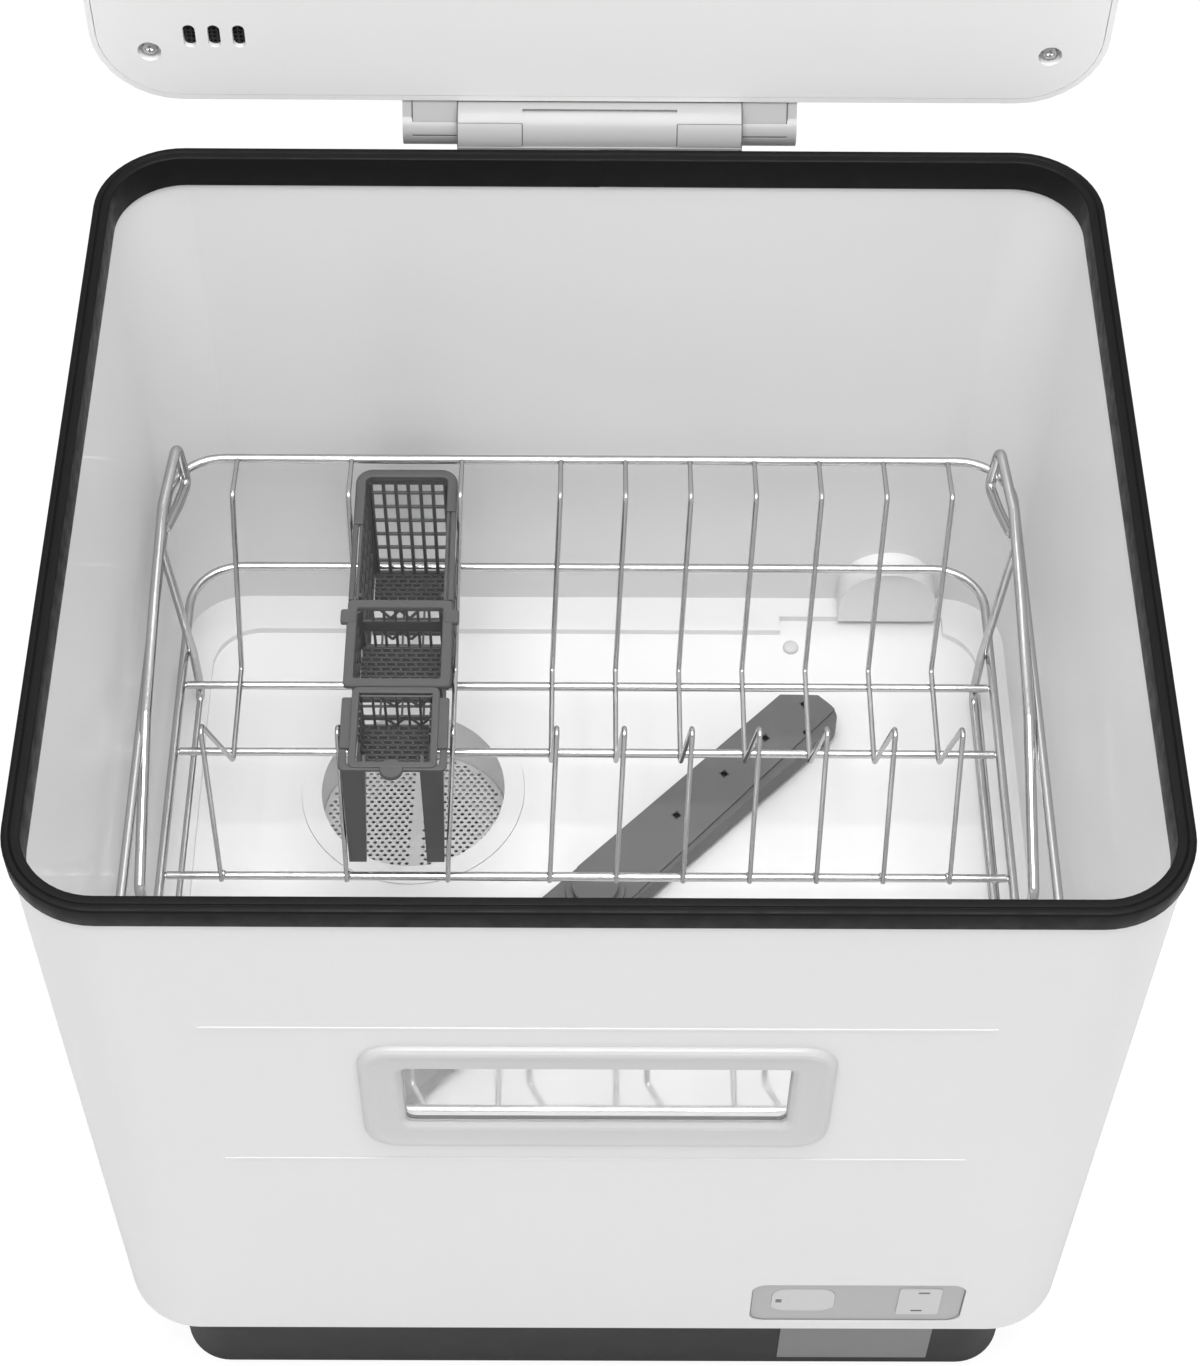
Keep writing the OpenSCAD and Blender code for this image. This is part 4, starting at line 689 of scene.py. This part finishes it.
def perforated_plate():
    """A round sheet with holes on a triangular lattice, that falls by FILTER_SLOPE toward the back.

    Each lattice point, pitch (i + j/2, j sin 60), has a hexagonal cell of twelve points. A cell keeps its
    hole unless it is near the edge or in the plain band, and its points are drawn in to the plate's rim."""
    sides = 12
    n = int(PLATE_R / HOLE_PITCH * 1.3)
    i, j = np.meshgrid(np.arange(-2 * n, 2 * n + 1), np.arange(-n, n + 1))
    centres = HOLE_PITCH * np.stack([(i + j / 2).ravel(), (j * math.sin(math.pi / 3)).ravel()], -1)
    centres = centres[np.hypot(*centres.T) < PLATE_R + HOLE_PITCH * 0.4]
    pierced = (np.hypot(*centres.T) < PLATE_R - PLAIN_EDGE) & (np.abs(centres[:, 0] - BAND_X) > BAND_HALF)
    k = np.arange(sides)
    turn = np.radians(30 + 30 * k)
    ring = np.stack([np.cos(turn), np.sin(turn)], -1)
    reach = np.where(k % 2 == 0, HOLE_PITCH / math.sqrt(3), HOLE_PITCH / 2)
    cells = centres[:, None, :] + reach[:, None] * ring
    cells = cells * np.minimum(1.0, PLATE_R / np.hypot(cells[..., 0], cells[..., 1]))[..., None]
    holes = centres[pierced][:, None, :] + HOLE_R * ring

    flat = np.concatenate([cells[pierced], holes, cells[~pierced]]).reshape(-1, 2)
    points = np.concatenate([np.column_stack([flat, np.full(len(flat), z)]) for z in (0.0, -SHEET)])
    count, below, after = len(holes), len(flat), (k + 1) % sides
    cell = sides * np.arange(count)[:, None]
    hole = cell + sides * count
    web = np.stack([cell + k, cell + after, hole + after, hole + k], -1).reshape(-1, 4)
    bore = np.stack([hole + k, hole + after, hole + after + below, hole + k + below], -1).reshape(-1, 4)
    plain = sides * np.arange(2 * count, below // sides)[:, None] + k
    faces = [face for part in (web, web[:, ::-1] + below, bore, plain, plain[:, ::-1] + below)
             for face in part.tolist()]
    points[:, 2] += points[:, 1] * FILTER_SLOPE
    points += np.array([FILTER_X, FILTER_Y, FILTER_Z + SHEET])
    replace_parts(piece("perforated_plate", "filter", "mesh_steel", points, faces), "filter_mesh")


perforated_plate()


# Cutlery basket

CUT_X = middle("cutlery_cup")[0]
CUT_W = high("cutlery_cup")[0] - low("cutlery_cup")[0]
CUT_TOP = high("cutlery_cup")[2]
CUT_LOW = low("cutlery_cup")[2]
CUP_Y = low("cutlery_cup")[1], high("cutlery_cup")[1] + 4.5
CUP_R = 8.0
BAR_R = 0.85

# The lattice walls stand WALL_IN inside the rims and end below them
WALL_IN = 4.0
WALL_X = CUT_X - CUT_W / 2 + WALL_IN, CUT_X + CUT_W / 2 - WALL_IN
WALL_TOP = CUT_TOP - 2.5

# The front tray: its inner width, how far its slope reaches in, and its depth
TRAY_W = 39.5
TRAY_SLOPE = 19.5
TRAY_DEEP = 25.0


def bars(ends, radius=BAR_R, sides=8):
    """Straight round bars between pairs of points."""
    return joined(tube([a, b], radius, sides) for a, b in ends)


def blades(ends, thick=0.9, tall=2.6):
    """Upright flat bars between pairs of level points, with their top edges at the points' height."""
    parts = []
    for a, b in ends:
        a, b = np.asarray(a, float), np.asarray(b, float)
        ahead = (b - a) / np.linalg.norm(b - a)
        side = np.array([-ahead[1], ahead[0], 0.0]) * thick / 2
        down = np.array([0.0, 0.0, -tall])
        ring = [a + side, a - side, a - side + down, a + side + down]
        faces = [[k, k + 4, (k + 1) % 4 + 4, (k + 1) % 4] for k in range(4)]
        parts.append((np.array(ring + [q + b - a for q in ring]), faces + [[0, 1, 2, 3], [7, 6, 5, 4]]))
    return joined(parts)


def lattice(corner, across, up, columns, rows):
    """The ends of the bars of a lattice that starts at a corner and spans two edges."""
    corner, across, up = (np.asarray(v, float) for v in (corner, across, up))
    feet = [corner + across * i / columns for i in range(columns + 1)]
    levels = [corner + up * j / rows for j in range(rows + 1)]
    return [(foot, foot + up) for foot in feet] + [(level, level + across) for level in levels]


def zigzag(x0, x1, y, z, rise):
    """The ends of four bars that run down, up, down and up across a wall, from peak to peak."""
    knots = [(x0 + (x1 - x0) * k / 4, y, z + rise * ((k + 1) % 2)) for k in range(5)]
    return list(zip(knots[:-1], knots[1:]))


def brick_floor(x0, x1, y0, y1, z, pitch=2.5, length=4.6):
    """The ends of long bars across a floor and of short ones between them, set over by half each row."""
    rows = int((y1 - y0) / pitch)
    ys = y0 + (y1 - y0) * np.arange(rows + 1) / rows
    ends = [((x0, y, z), (x1, y, z)) for y in ys]
    for k in range(rows):
        xs = np.arange(x0 + (length / 2 if k % 2 else length), x1 - 1, length)
        ends += [((x, ys[k], z), (x, ys[k + 1], z)) for x in xs]
    return ends


def basket_floor(y0, y1, z):
    """A floor of flat bars: fine bricks at its back, where they show, and coarse ones in front."""
    x0, x1, split = WALL_X[0] + 1, WALL_X[1] - 1, y1 - 20
    return blades(brick_floor(x0, x1, split, y1 - 1, z) + brick_floor(x0, x1, y0 + 1, split, z, 8.0, 10.0))


def corner_posts(y0, y1, z, radius):
    """Upright round bars in the four inner corners, from a height up to the walls' top."""
    inset = 0.6
    xs, ys = (WALL_X[0] + inset, WALL_X[1] - inset), (y0 + inset, y1 - inset)
    return bars([((x, y, z), (x, y, WALL_TOP)) for x in xs for y in ys], radius, 10)


def pad(size, levels, draw, centre, plane="XZ", steps=3):
    """A small pad (w, d, r) from a foot to a side level, with its face at a third one drawn in."""
    (w, d, r), (foot, side, face) = size, levels
    rings = [(w, d, r, foot), (w, d, r, side), (w - draw[0], d - draw[0], r - draw[1], face)]
    return lofted(rings, centre, plane, steps=steps)


def cup():
    """The tall cutlery cup: a rim that is wide round its back, walls of round bars, a brick floor."""
    x0, y0, y1 = WALL_X[0] + 2.5, CUP_Y[0] + WALL_IN, CUP_Y[1] - WALL_IN
    z = CUT_LOW + BAR_R
    wide, tall, length = WALL_X[1] - WALL_X[0] - 5, WALL_TOP - z, CUP_Y[1] - CUP_Y[0]
    rim = rounded_corners([[-2.6, -2.2], [-2.6, 0], [0, 0], [0, -2.2]], 0.6, 3)
    collar = rounded_corners([[-4.8, -2.4], [-4.8, 0.0], [-0.2, 0.0], [-0.2, -2.4]], 0.7, 3)
    skirt = rounded_corners([[-4.6, -6], [-4.6, 0], [-3.2, 0], [-3.2, -6]], 0.5, 2)
    sill = [[-4.6, 0], [-4.6, 2.2], [-3.2, 2.2], [-3.2, 0]]
    outline, outward = round_outline(CUT_W, length, CUP_R)
    half = len(outline) // 2
    facing = np.concatenate([[[1.0, 0.0]], outward[:half], [[-1.0, 0.0]]])

    def round_back(right, left):
        """A path along the right side to the back and along the left side, between two heights in y."""
        path = np.concatenate([[[CUT_W / 2, right]], outline[:half], [[-CUT_W / 2, left]]])
        return path + [CUT_X, sum(CUP_Y) / 2]

    around = round_back(-length / 2, -length / 2)
    wide_end = length / 2 - 26.0
    walls = lattice((x0, y0, z), (wide, 0, 0), (0, 0, 34), 6, 3)
    for x in WALL_X:
        walls += lattice((x, y0 + 2, z), (0, y1 - y0 - 4, 0), (0, 0, tall), 8, 4)
    back_wall = lattice((x0, y1, z), (wide, 0, 0), (0, 0, tall), 6, 7)
    points, faces = joined([
        carried_open(rim, around, facing, CUT_TOP - 0.5),
        carried_open(skirt, around, facing, CUT_TOP - 0.6),
        carried_open(collar, round_back(wide_end, wide_end - 8), facing, CUT_TOP),
        carried_round(sill, CUT_W, length, CUP_R, [CUT_X, sum(CUP_Y) / 2, CUT_LOW]),
        bars(back_wall, 1.05), bars(walls), basket_floor(y0, y1, z), corner_posts(y0, y1, z, 1.5)])
    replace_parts(piece("cup_lattice", "cutlery_basket", "grey_basket", points, faces), "cutlery_cup")


def middle_tray():
    """The middle tray: a rim with a tab on each side, walls with zigzags at the back, a brick floor."""
    y_low, y_high = low("cutlery_tray_middle")[1], high("cutlery_tray_middle")[1]
    deep = y_high - y_low
    (x0, x1), y0, y1 = WALL_X, y_low + WALL_IN, y_high - WALL_IN
    z = low("cutlery_tray_middle")[2] + 0.8
    rim = lofted([(CUT_W - k, deep - k, r, up) for k, r, up in
                  [(0, 2, -2.2), (0, 2, -0.5), (1, 1.6, 0), (8.4, 1.2, 0), (9.2, 1, -0.5), (9.2, 1, -2.6)]],
                 (CUT_X, (y_low + y_high) / 2, CUT_TOP), "XY", True, 3)
    top_tall, band_tall, zigzag_tall = 8.5, 7.0, 6.175
    top_row = WALL_TOP - top_tall
    wide = x1 - x0 - 4
    walls = lattice((x0 + 2, y1, z), (wide, 0, 0), (0, 0, top_row - band_tall - z), 7, 1)
    walls += lattice((x0 + 2, y1, top_row), (wide, 0, 0), (0, 0, top_tall), 7, 1)
    for foot in (top_row + 2, top_row - 14):
        walls += zigzag(x0 + 11, x0 + 28.6, y1, foot, zigzag_tall)
    for x in WALL_X:
        walls += lattice((x, y0 + 2, z), (0, y1 - y0 - 4, 0), (0, 0, WALL_TOP - z), 5, 3)
    band = [((x0 + 1, y1, top_row), (x1 - 1, y1, top_row))]
    tabs = [pad((7, 8, 1.2), (-2, -0.5, 0), (0.8, 0.2),
                (CUT_X + s * (CUT_W / 2 - 0.5), y_high - 9.5, CUT_TOP + 0.2), "XY") for s in (-1, 1)]
    points, faces = joined([rim, bars(walls, 0.8), basket_floor(y0, y1, z), blades(band, 1.4, band_tall),
                            corner_posts(y0, y1, z, 1.4)] + tabs)
    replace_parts(piece("middle_tray_lattice", "cutlery_basket", "grey_basket", points, faces),
                "cutlery_tray_middle")


# The legs' spans from the basket's middle, at the top and at the foot
LEG_SPANS = [((-22.6, -12.2), (-23.6, -15.6)), ((12.2, 22.6), (12.4, 20.4))]
LEG_WALL = 1.5


def leg(top, foot, y):
    """A leg with a U section, open at its back and deeper at its top, between two spans (x0, x1)."""
    rings = []
    for span, deep, z in ((foot, 3.0, CUT_LOW), (top, 9.0, CUT_TOP - 2.2)):
        x0, x1 = CUT_X + span[0], CUT_X + span[1]
        in0, in1, back, inner = x0 + LEG_WALL, x1 - LEG_WALL, y + deep, y + LEG_WALL
        rings += [[x0, y, z], [x1, y, z], [x1, back, z], [in1, back, z],
                  [in1, inner, z], [in0, inner, z], [in0, back, z], [x0, back, z]]
    return np.array(rings), grid_faces(2, 8).tolist() + end_caps(2, 8)


def front_tray():
    """The front tray: a narrow inner rim, low side flanges, a front bracket on two channel legs.

    Its back wall has zigzags, its front slopes down to a brick floor, and a thumb tab stands off it."""
    y_front, y_back, zigzag_tall = CROSS_YS[2] + 6.3, high("cutlery_tray_front")[1], 7.03
    deep, mid_y = y_back - y_front, (y_front + y_back) / 2
    x0, x1 = CUT_X - TRAY_W / 2 + 3.8, CUT_X + TRAY_W / 2 - 3.8
    y0, y1 = y_front + TRAY_SLOPE, y_back - WALL_IN
    z = CUT_TOP - TRAY_DEEP
    rim = rounded_corners([[-3.3, -2.4], [-3.3, 0], [0, 0], [0, -2.4]], 0.5, 3)
    bracket = rounded_corners([[-3.4, -2.6], [-3.4, -0.7], [0, -0.7], [0, -2.6]], 0.5, 3)
    outline, outward = round_outline(CUT_W, deep, 3.0)
    half, turn_in = len(outline) // 2, 11 - deep / 2
    path = np.concatenate([[[-CUT_W / 2, turn_in]], outline[half:], [[CUT_W / 2, turn_in]]])
    facing = np.concatenate([[[-1.0, 0.0]], outward[half:], [[1.0, 0.0]]])
    flange = (CUT_W - TRAY_W) / 2 + 1
    sides = [pad((flange, deep - 17, 1.0), (-3.0, -1.4, -1.0), (0.6, 0.2),
                 (CUT_X + s * (CUT_W - flange) / 2, mid_y + 3.4, CUT_TOP), "XY") for s in (-1, 1)]
    thumb = pad((10.4, 10.4, 5.1), (-2.2, -0.6, -0.1), (0.8, 0.4),
                (CUT_X - 0.4, y_front + 0.6, CUT_TOP), "XY", 10)
    walls = lattice((x0, y1, z), (x1 - x0, 0, 0), (0, 0, TRAY_DEEP - 2), 6, 3)
    for foot in (z + 15.4, z + 0.6):
        walls += zigzag(x0 + 9, x1, y1, foot, zigzag_tall)
    for x in (x0, x1):
        walls += [((x, y, z), (x, y, CUT_TOP - 2)) for y in np.linspace(y0 + 1, y1, 6)]
        walls += [((x, y0 - 5.5 * k, z + 8.0 * k), (x, y1, z + 8.0 * k)) for k in range(3)]
    slope = [((x, y_front + 3.4, CUT_TOP - 1.6), (x, y0, z)) for x in np.linspace(x0, x1, 15)]
    legs = [leg(top, foot, y_front) for top, foot in LEG_SPANS]
    points, faces = joined([
        carried_round(rim, TRAY_W, deep - 1.0, 3.0, [CUT_X, mid_y + 0.5, CUT_TOP]),
        carried_open(bracket, path + [CUT_X, mid_y], facing, CUT_TOP), thumb,
        bars(walls, 0.75), bars(slope, 1.05), blades(brick_floor(x0, x1, y0, y1, z))] + sides + legs)
    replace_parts(piece("front_tray_lattice", "cutlery_basket", "grey_basket", points, faces),
                "cutlery_tray_front")


cup()
middle_tray()
front_tray()


# Window surround, screws, small marks, and painted shade in the hinge gaps and nozzle holes

# The shell's two raised lines stand LINE_RISE proud of its front
LINE_RISE = 0.5
SHELL_FRONT = low("outer_shell")[1] + LINE_RISE
BEZEL_W, BEZEL_H = 185.0, 79.0
OPEN_W, OPEN_H = 151.0, 44.0


def window_surround():
    """The window's frame: an outer lip, a shallow dish, a slanted inner edge and a neck in the wall.

    Its rings are (inset or outset, corner radius, rise): the lip and the dish are set in from the outer
    edge, and the inner edge is set out from the opening."""
    x, _, z = middle("window_bezel")
    neck = high("window_bezel")[1] - SHELL_FRONT
    lip = [(0, 14, -0.8), (0, 14, 0.7), (0.8, 13.6, 1.7), (2.6, 12.7, 2.7), (4.6, 11.7, 3.1)]
    dish = [(8.0, 10.4, 3.1), (11.0, 9.4, 2.6), (14.0, 8.4, 2.2)]
    edge = [(7.0, 5.6, 2.0), (4.6, 5.0, 1.5), (0, 3.6, -0.6), (0, 3.6, -neck), (9.0, 5.9, -neck),
            (9.0, 5.9, -0.8)]
    rings = [(BEZEL_W - k, BEZEL_H - k, r, rise) for k, r, rise in lip + dish]
    rings += [(OPEN_W + k, OPEN_H + k, r, rise) for k, r, rise in edge]
    points, faces = lofted(rings, (x, SHELL_FRONT, z), closed=True)
    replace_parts(piece("window_surround", "cabinet", "key_grey", points, faces, 14.0), "window_bezel")


def screw_head(x, y, z, radius, rise):
    """A pan head seen from the front, with a cross let into it.

    At a distance q from the middle the face stands rise (1 - (q / radius)^2)^0.5 proud. The cross goes
    down where the smaller of |u| and |v| is under a fifth of the radius and the larger under 0.62 of it."""
    rings, sides = 14, 48
    q = radius * np.linspace(1, 0.02, rings)[:, None]
    t = np.linspace(0, 2 * np.pi, sides, endpoint=False)[None, :]
    u, v = q * np.cos(t), q * np.sin(t)
    arm = np.clip((radius / 5 - np.minimum(abs(u), abs(v))) * 3 / radius, 0, 1)
    arm *= np.clip((radius * 0.62 - np.maximum(abs(u), abs(v))) * 4 / radius, 0, 1)
    proud = rise * np.sqrt(np.clip(1 - (q / radius) ** 2, 0, 1)) - 1.1 * rise * arm
    points = np.stack([x + u, y - proud, z + v], -1).reshape(-1, 3)
    return points, grid_faces(rings, sides).tolist() + end_caps(rings, sides)[1:]


def lid_screw_heads():
    """Cross head screws in the four recesses of the lid."""
    radius = 3.4
    xs = low("lid_screws")[0] + radius, high("lid_screws")[0] - radius
    zs = low("lid_screws")[2] + radius, high("lid_screws")[2] - radius
    y = low("lid_screws")[1] - 0.02
    points, faces = joined(screw_head(x, y, z, radius, 1.3) for x in xs for z in zs)
    piece("cross_head_screws", "lid", "zinc_steel", points, faces)


HINGE_SCREW_XS = (-48, -16, 16, 48)


def hinge_screw_heads():
    """Cross head screws in the recesses at the back of the hinge, facing backwards."""
    y = high("hinge_screws")[1] + 0.02
    z = middle("hinge_screws")[2]
    points, faces = joined(screw_head(x, y, z, 3.9, 1.2) for x in HINGE_SCREW_XS)
    turned = points * [-1, -1, 1] + [0, 2 * y, 0]
    piece("hinge_screw_heads", "cabinet", "zinc_steel", turned, faces)


def key_marks():
    """Two short dark bars on the start key, near its upper and lower edges."""
    (x, _, z), y = middle("start_key"), low("start_key")[1]
    points, faces = joined(pad((5.2, 1.3, 0.5), (-0.1, 0.06, 0.12), (0.3, 0.1), (x + dx, y, z + dz))
                           for dx, dz in ((1.5, 9.6), (-0.5, -9.2)))
    piece("key_marks", "start_key", "pump_plastic", points, faces)


def display_mark():
    """A tiny dark mark of three short bars at the left of the display."""
    x, y, _ = low("display_lens") + [3.2, 0, 0]
    z = middle("display_lens")[2] - 1
    points, faces = joined(pad((2.8, 0.8, 0.3), (-0.1, 0.05, 0.1), (0.2, 0.1), (x, y, z + dz))
                           for dz in (-1.2, 0.0, 1.2))
    piece("display_mark", "cabinet", "pump_plastic", points, faces)


def panel_trim():
    """A thin raised edge round the control plate, of rings (inset, corner radius, rise)."""
    (x, _, z), y = middle("control_plate"), low("control_plate")[1]
    w, h = 95.0, 39.0
    rings = [(w - k, h - k, r, rise) for k, r, rise in
             [(0, 6.9, -0.6), (0, 6.9, 0.2), (0.4, 6.7, 0.35), (0.9, 6.4, 0.2), (1.1, 6.3, -0.6)]]
    points, faces = lofted(rings, (x, y, z), closed=True)
    piece("panel_trim", "cabinet", "plate_grey", points, faces)


# The width of a hinge cover, and how far the back of an inlay lies behind its face
COVER_W = 27.8
INLAY_T = 1.15


def hinge_gap_shade():
    """Painted gap shade: thin dark tubes over and beside the hinge covers, beside the lid arms, and round
    each arm's inlay.

    A seam beside a cover is an arc round the pin, and one round an inlay lies on the arm's slope."""
    _, axis_y, axis_z = middle("hinge_pin")
    block_x = high("hinge_block")[0]
    cover_x = block_x - COVER_W
    inlay_x = high("arm_inlays")[0] + 0.1
    radius = axis_y - low("hinge_covers")[1] - 0.2

    def arc(x, start, end, r):
        """An arc round the pin, its angles in degrees upwards from the front."""
        turn = np.radians(np.linspace(start, end, 13))
        return np.column_stack([np.full(len(turn), x), axis_y - r * np.cos(turn), axis_z + r * np.sin(turn)])

    front, foot, top = low("lid_arms")[1], low("arm_inlays")[2], high("arm_inlays")[2]
    slope = (high("arm_inlays")[1] - INLAY_T - front) / (top - axis_z)
    on_foot = [front + slope * (foot - axis_z), foot]
    on_top = [front + slope * (top - axis_z), top]
    fixed, moving = [], []
    for s in (-1, 1):
        _, edge_y, edge_z = arc(0, 47, 47, radius)[0]
        fixed += [arc(s * cover_x, 3, 47, radius), arc(s * (block_x + 0.08), -15, 95, radius + 0.1),
                  [[s * x, edge_y, edge_z] for x in (cover_x, (cover_x + block_x) / 2, block_x)]]
        moving.append(bent_path([[s * inlay_x, *on_top], [s * inlay_x, *on_foot],
                                 [s * (block_x + 0.7), *on_foot]], 0.8))
    # Dark tubes where the parts meet: painted shade in the gaps.
    points, faces = joined(tube(path, 0.25, 8) for path in fixed)
    piece("cover_gap_shade", "cabinet", "pump_plastic", points, faces)
    points, faces = joined(tube(path, 0.28, 8) for path in moving)
    piece("inlay_gap_shade", "lid", "pump_plastic", points, faces)


def probe_cap():
    """The light cap over the tip of the heat probe."""
    x, y, _ = middle("heat_probe")
    dome = [(3.9, -1.9), (4.0, -1.2), (3.8, -0.3), (3.2, 0.25), (2.2, 0.55), (0.8, 0.66), (0.0, 0.68)]
    points, faces = revolved(dome, (x, y, high("heat_probe")[2]))
    piece("probe_cap", "cabinet", "pipe_plastic", points, faces)


ARM_X, ARM_Y, _ = middle("spray_arm_top")
ARM_TOP = high("spray_arm_top")[2]
ARM_TURN = math.radians(45.8)

# The nozzles' places along and across one half of the arm, and the rings (size, height) of a mouth
NOZZLES = [(59, 2.2), (93, 2.2), (123, 2.2), (152, 2.2), (140, -10)]
MOUTH = [(2.5, 0.04), (2.1, 0.05), (1.7, -0.5), (0.9, -1.2)]
BEVEL_DROP = 0.35


def nozzle_hole_shade():
    """A four-lobed dark funnel sunk into each nozzle hole of the spray arm: painted shade inside the hole.

    In the plane the lobes follow r = R (0.72 + 0.28 cos(4a + 0.6)), and the funnel narrows as it goes
    down. A mouth on the bevelled edge lies BEVEL_DROP lower."""
    sides, parts = 40, []
    t = np.linspace(0, 2 * np.pi, sides, endpoint=False)
    lobes = (0.72 + 0.28 * np.cos(4 * t + 0.6)) * np.stack([np.cos(t), np.sin(t)])
    for turn in (ARM_TURN, ARM_TURN + math.pi):
        for u, v in NOZZLES:
            x = ARM_X + u * math.cos(turn) - v * math.sin(turn)
            y = ARM_Y + u * math.sin(turn) + v * math.cos(turn)
            top = ARM_TOP - (BEVEL_DROP if v < 0 else 0.0)
            rows = [np.column_stack([x + r * lobes[0], y + r * lobes[1], np.full(sides, top + h)])
                    for r, h in MOUTH]
            faces = grid_faces(len(MOUTH), sides).tolist() + end_caps(len(MOUTH), sides)[1:]
            parts.append((np.concatenate(rows), faces))
    points, faces = joined(parts)
    # The funnels' near-black colour is painted shade in the nozzle holes.
    piece("nozzle_hole_shade", "spray_arm", "hose_black", points, faces)


window_surround()
lid_screw_heads()
hinge_screw_heads()
key_marks()
display_mark()
panel_trim()
hinge_gap_shade()
probe_cap()
nozzle_hole_shade()


# Camera at the photograph's angle: a pinhole camera fitted to it, its lens set by the picture's height
IMAGE_H = 1366
FOCAL_PX = 2828.8
PITCH, YAW, ROLL = math.radians(53.919), math.radians(0.561), math.radians(0.699)
EYE = np.array([-5.873, -520.421 - RIM_D / 2 + BODY_Y, 851.901 + RIM_Z])

forward = Vector((math.sin(YAW) * math.cos(PITCH), math.cos(YAW) * math.cos(PITCH), -math.sin(PITCH)))
right = Vector((math.cos(YAW), -math.sin(YAW), 0.0))
up = right.cross(forward)
tilted_right = right * math.cos(ROLL) + up * math.sin(ROLL)
tilted_up = -right * math.sin(ROLL) + up * math.cos(ROLL)
camera_data = bpy.data.cameras.new("camera")
camera_data.sensor_width = 36.0
camera_data.lens = FOCAL_PX / IMAGE_H * camera_data.sensor_width
camera = bpy.data.objects.new("camera", camera_data)
turn = Matrix((tilted_right, tilted_up, -forward)).transposed()
camera.matrix_world = Matrix.Translation(Vector(EYE * MM)) @ turn.to_4x4()
bpy.context.scene.collection.objects.link(camera)
bpy.context.scene.camera = camera

# Floor, world and lamps
floor_mesh = bpy.data.meshes.new("floor")
floor_mesh.from_pydata([(-6, -6, 0), (6, -6, 0), (6, 6, 0), (-6, 6, 0)], [], [(0, 1, 2, 3)])
floor = bpy.data.objects.new("floor", floor_mesh)
bpy.context.scene.collection.objects.link(floor)


def seen_white(tree, lit, amount_of_white):
    """Shows plain white to the camera, also through glass, and a lit surface to all other rays."""
    path = tree.nodes.new("ShaderNodeLightPath")
    seen = tree.nodes.new("ShaderNodeMath")
    seen.operation = "MAXIMUM"
    tree.links.new(path.outputs["Is Camera Ray"], seen.inputs[0])
    tree.links.new(path.outputs["Is Transmission Ray"], seen.inputs[1])
    scaled = tree.nodes.new("ShaderNodeMath")
    scaled.operation = "MULTIPLY"
    scaled.inputs[1].default_value = amount_of_white
    tree.links.new(seen.outputs[0], scaled.inputs[0])
    mixed = tree.nodes.new("ShaderNodeMixShader")
    white = tree.nodes.new("ShaderNodeEmission")
    white.inputs["Color"].default_value = (1.0, 1.0, 1.0, 1.0)
    white.inputs["Strength"].default_value = 1.08
    tree.links.new(scaled.outputs[0], mixed.inputs[0])
    tree.links.new(lit, mixed.inputs[1])
    tree.links.new(white.outputs[0], mixed.inputs[2])
    return mixed.outputs[0]


floor_material, floor_tree, floor_shader, _ = new_material("floor_white", grey(0.85), 0.6)
floor_out = floor_tree.nodes["Material Output"]
floor_tree.links.new(seen_white(floor_tree, floor_shader.outputs[0], 0.85), floor_out.inputs["Surface"])
dress(floor, floor_material)

world = bpy.data.worlds.new("studio")
world.use_nodes = True
bpy.context.scene.world = world
world_tree = world.node_tree
ambient = world_tree.nodes["Background"]
ambient.inputs["Color"].default_value = (1.0, 1.0, 1.0, 1.0)
ambient.inputs["Strength"].default_value = 0.55
world_out = world_tree.nodes["World Output"]
world_tree.links.new(seen_white(world_tree, ambient.outputs[0], 1.0), world_out.inputs["Surface"])


def lamp(name, place, aim, size, power):
    """A square soft lamp at a place, aimed at a point, all in metres."""
    data = bpy.data.lights.new(name, "AREA")
    data.size = size
    data.energy = power
    obj = bpy.data.objects.new(name, data)
    obj.location = place
    obj.rotation_mode = "QUATERNION"
    obj.rotation_quaternion = (Vector(aim) - Vector(place)).to_track_quat("-Z", "Y")
    bpy.context.scene.collection.objects.link(obj)


lamp("overhead", (0.0, -0.3, 1.7), (0.0, 0.0, 0.2), 1.0, 25.0)
lamp("front_left", (-1.4, -1.6, 1.4), (0.0, 0.0, 0.3), 1.2, 1.5)
lamp("front_right", (1.5, -1.3, 1.0), (0.0, 0.0, 0.3), 1.2, 2.0)

bpy.context.scene.view_settings.view_transform = "Standard"
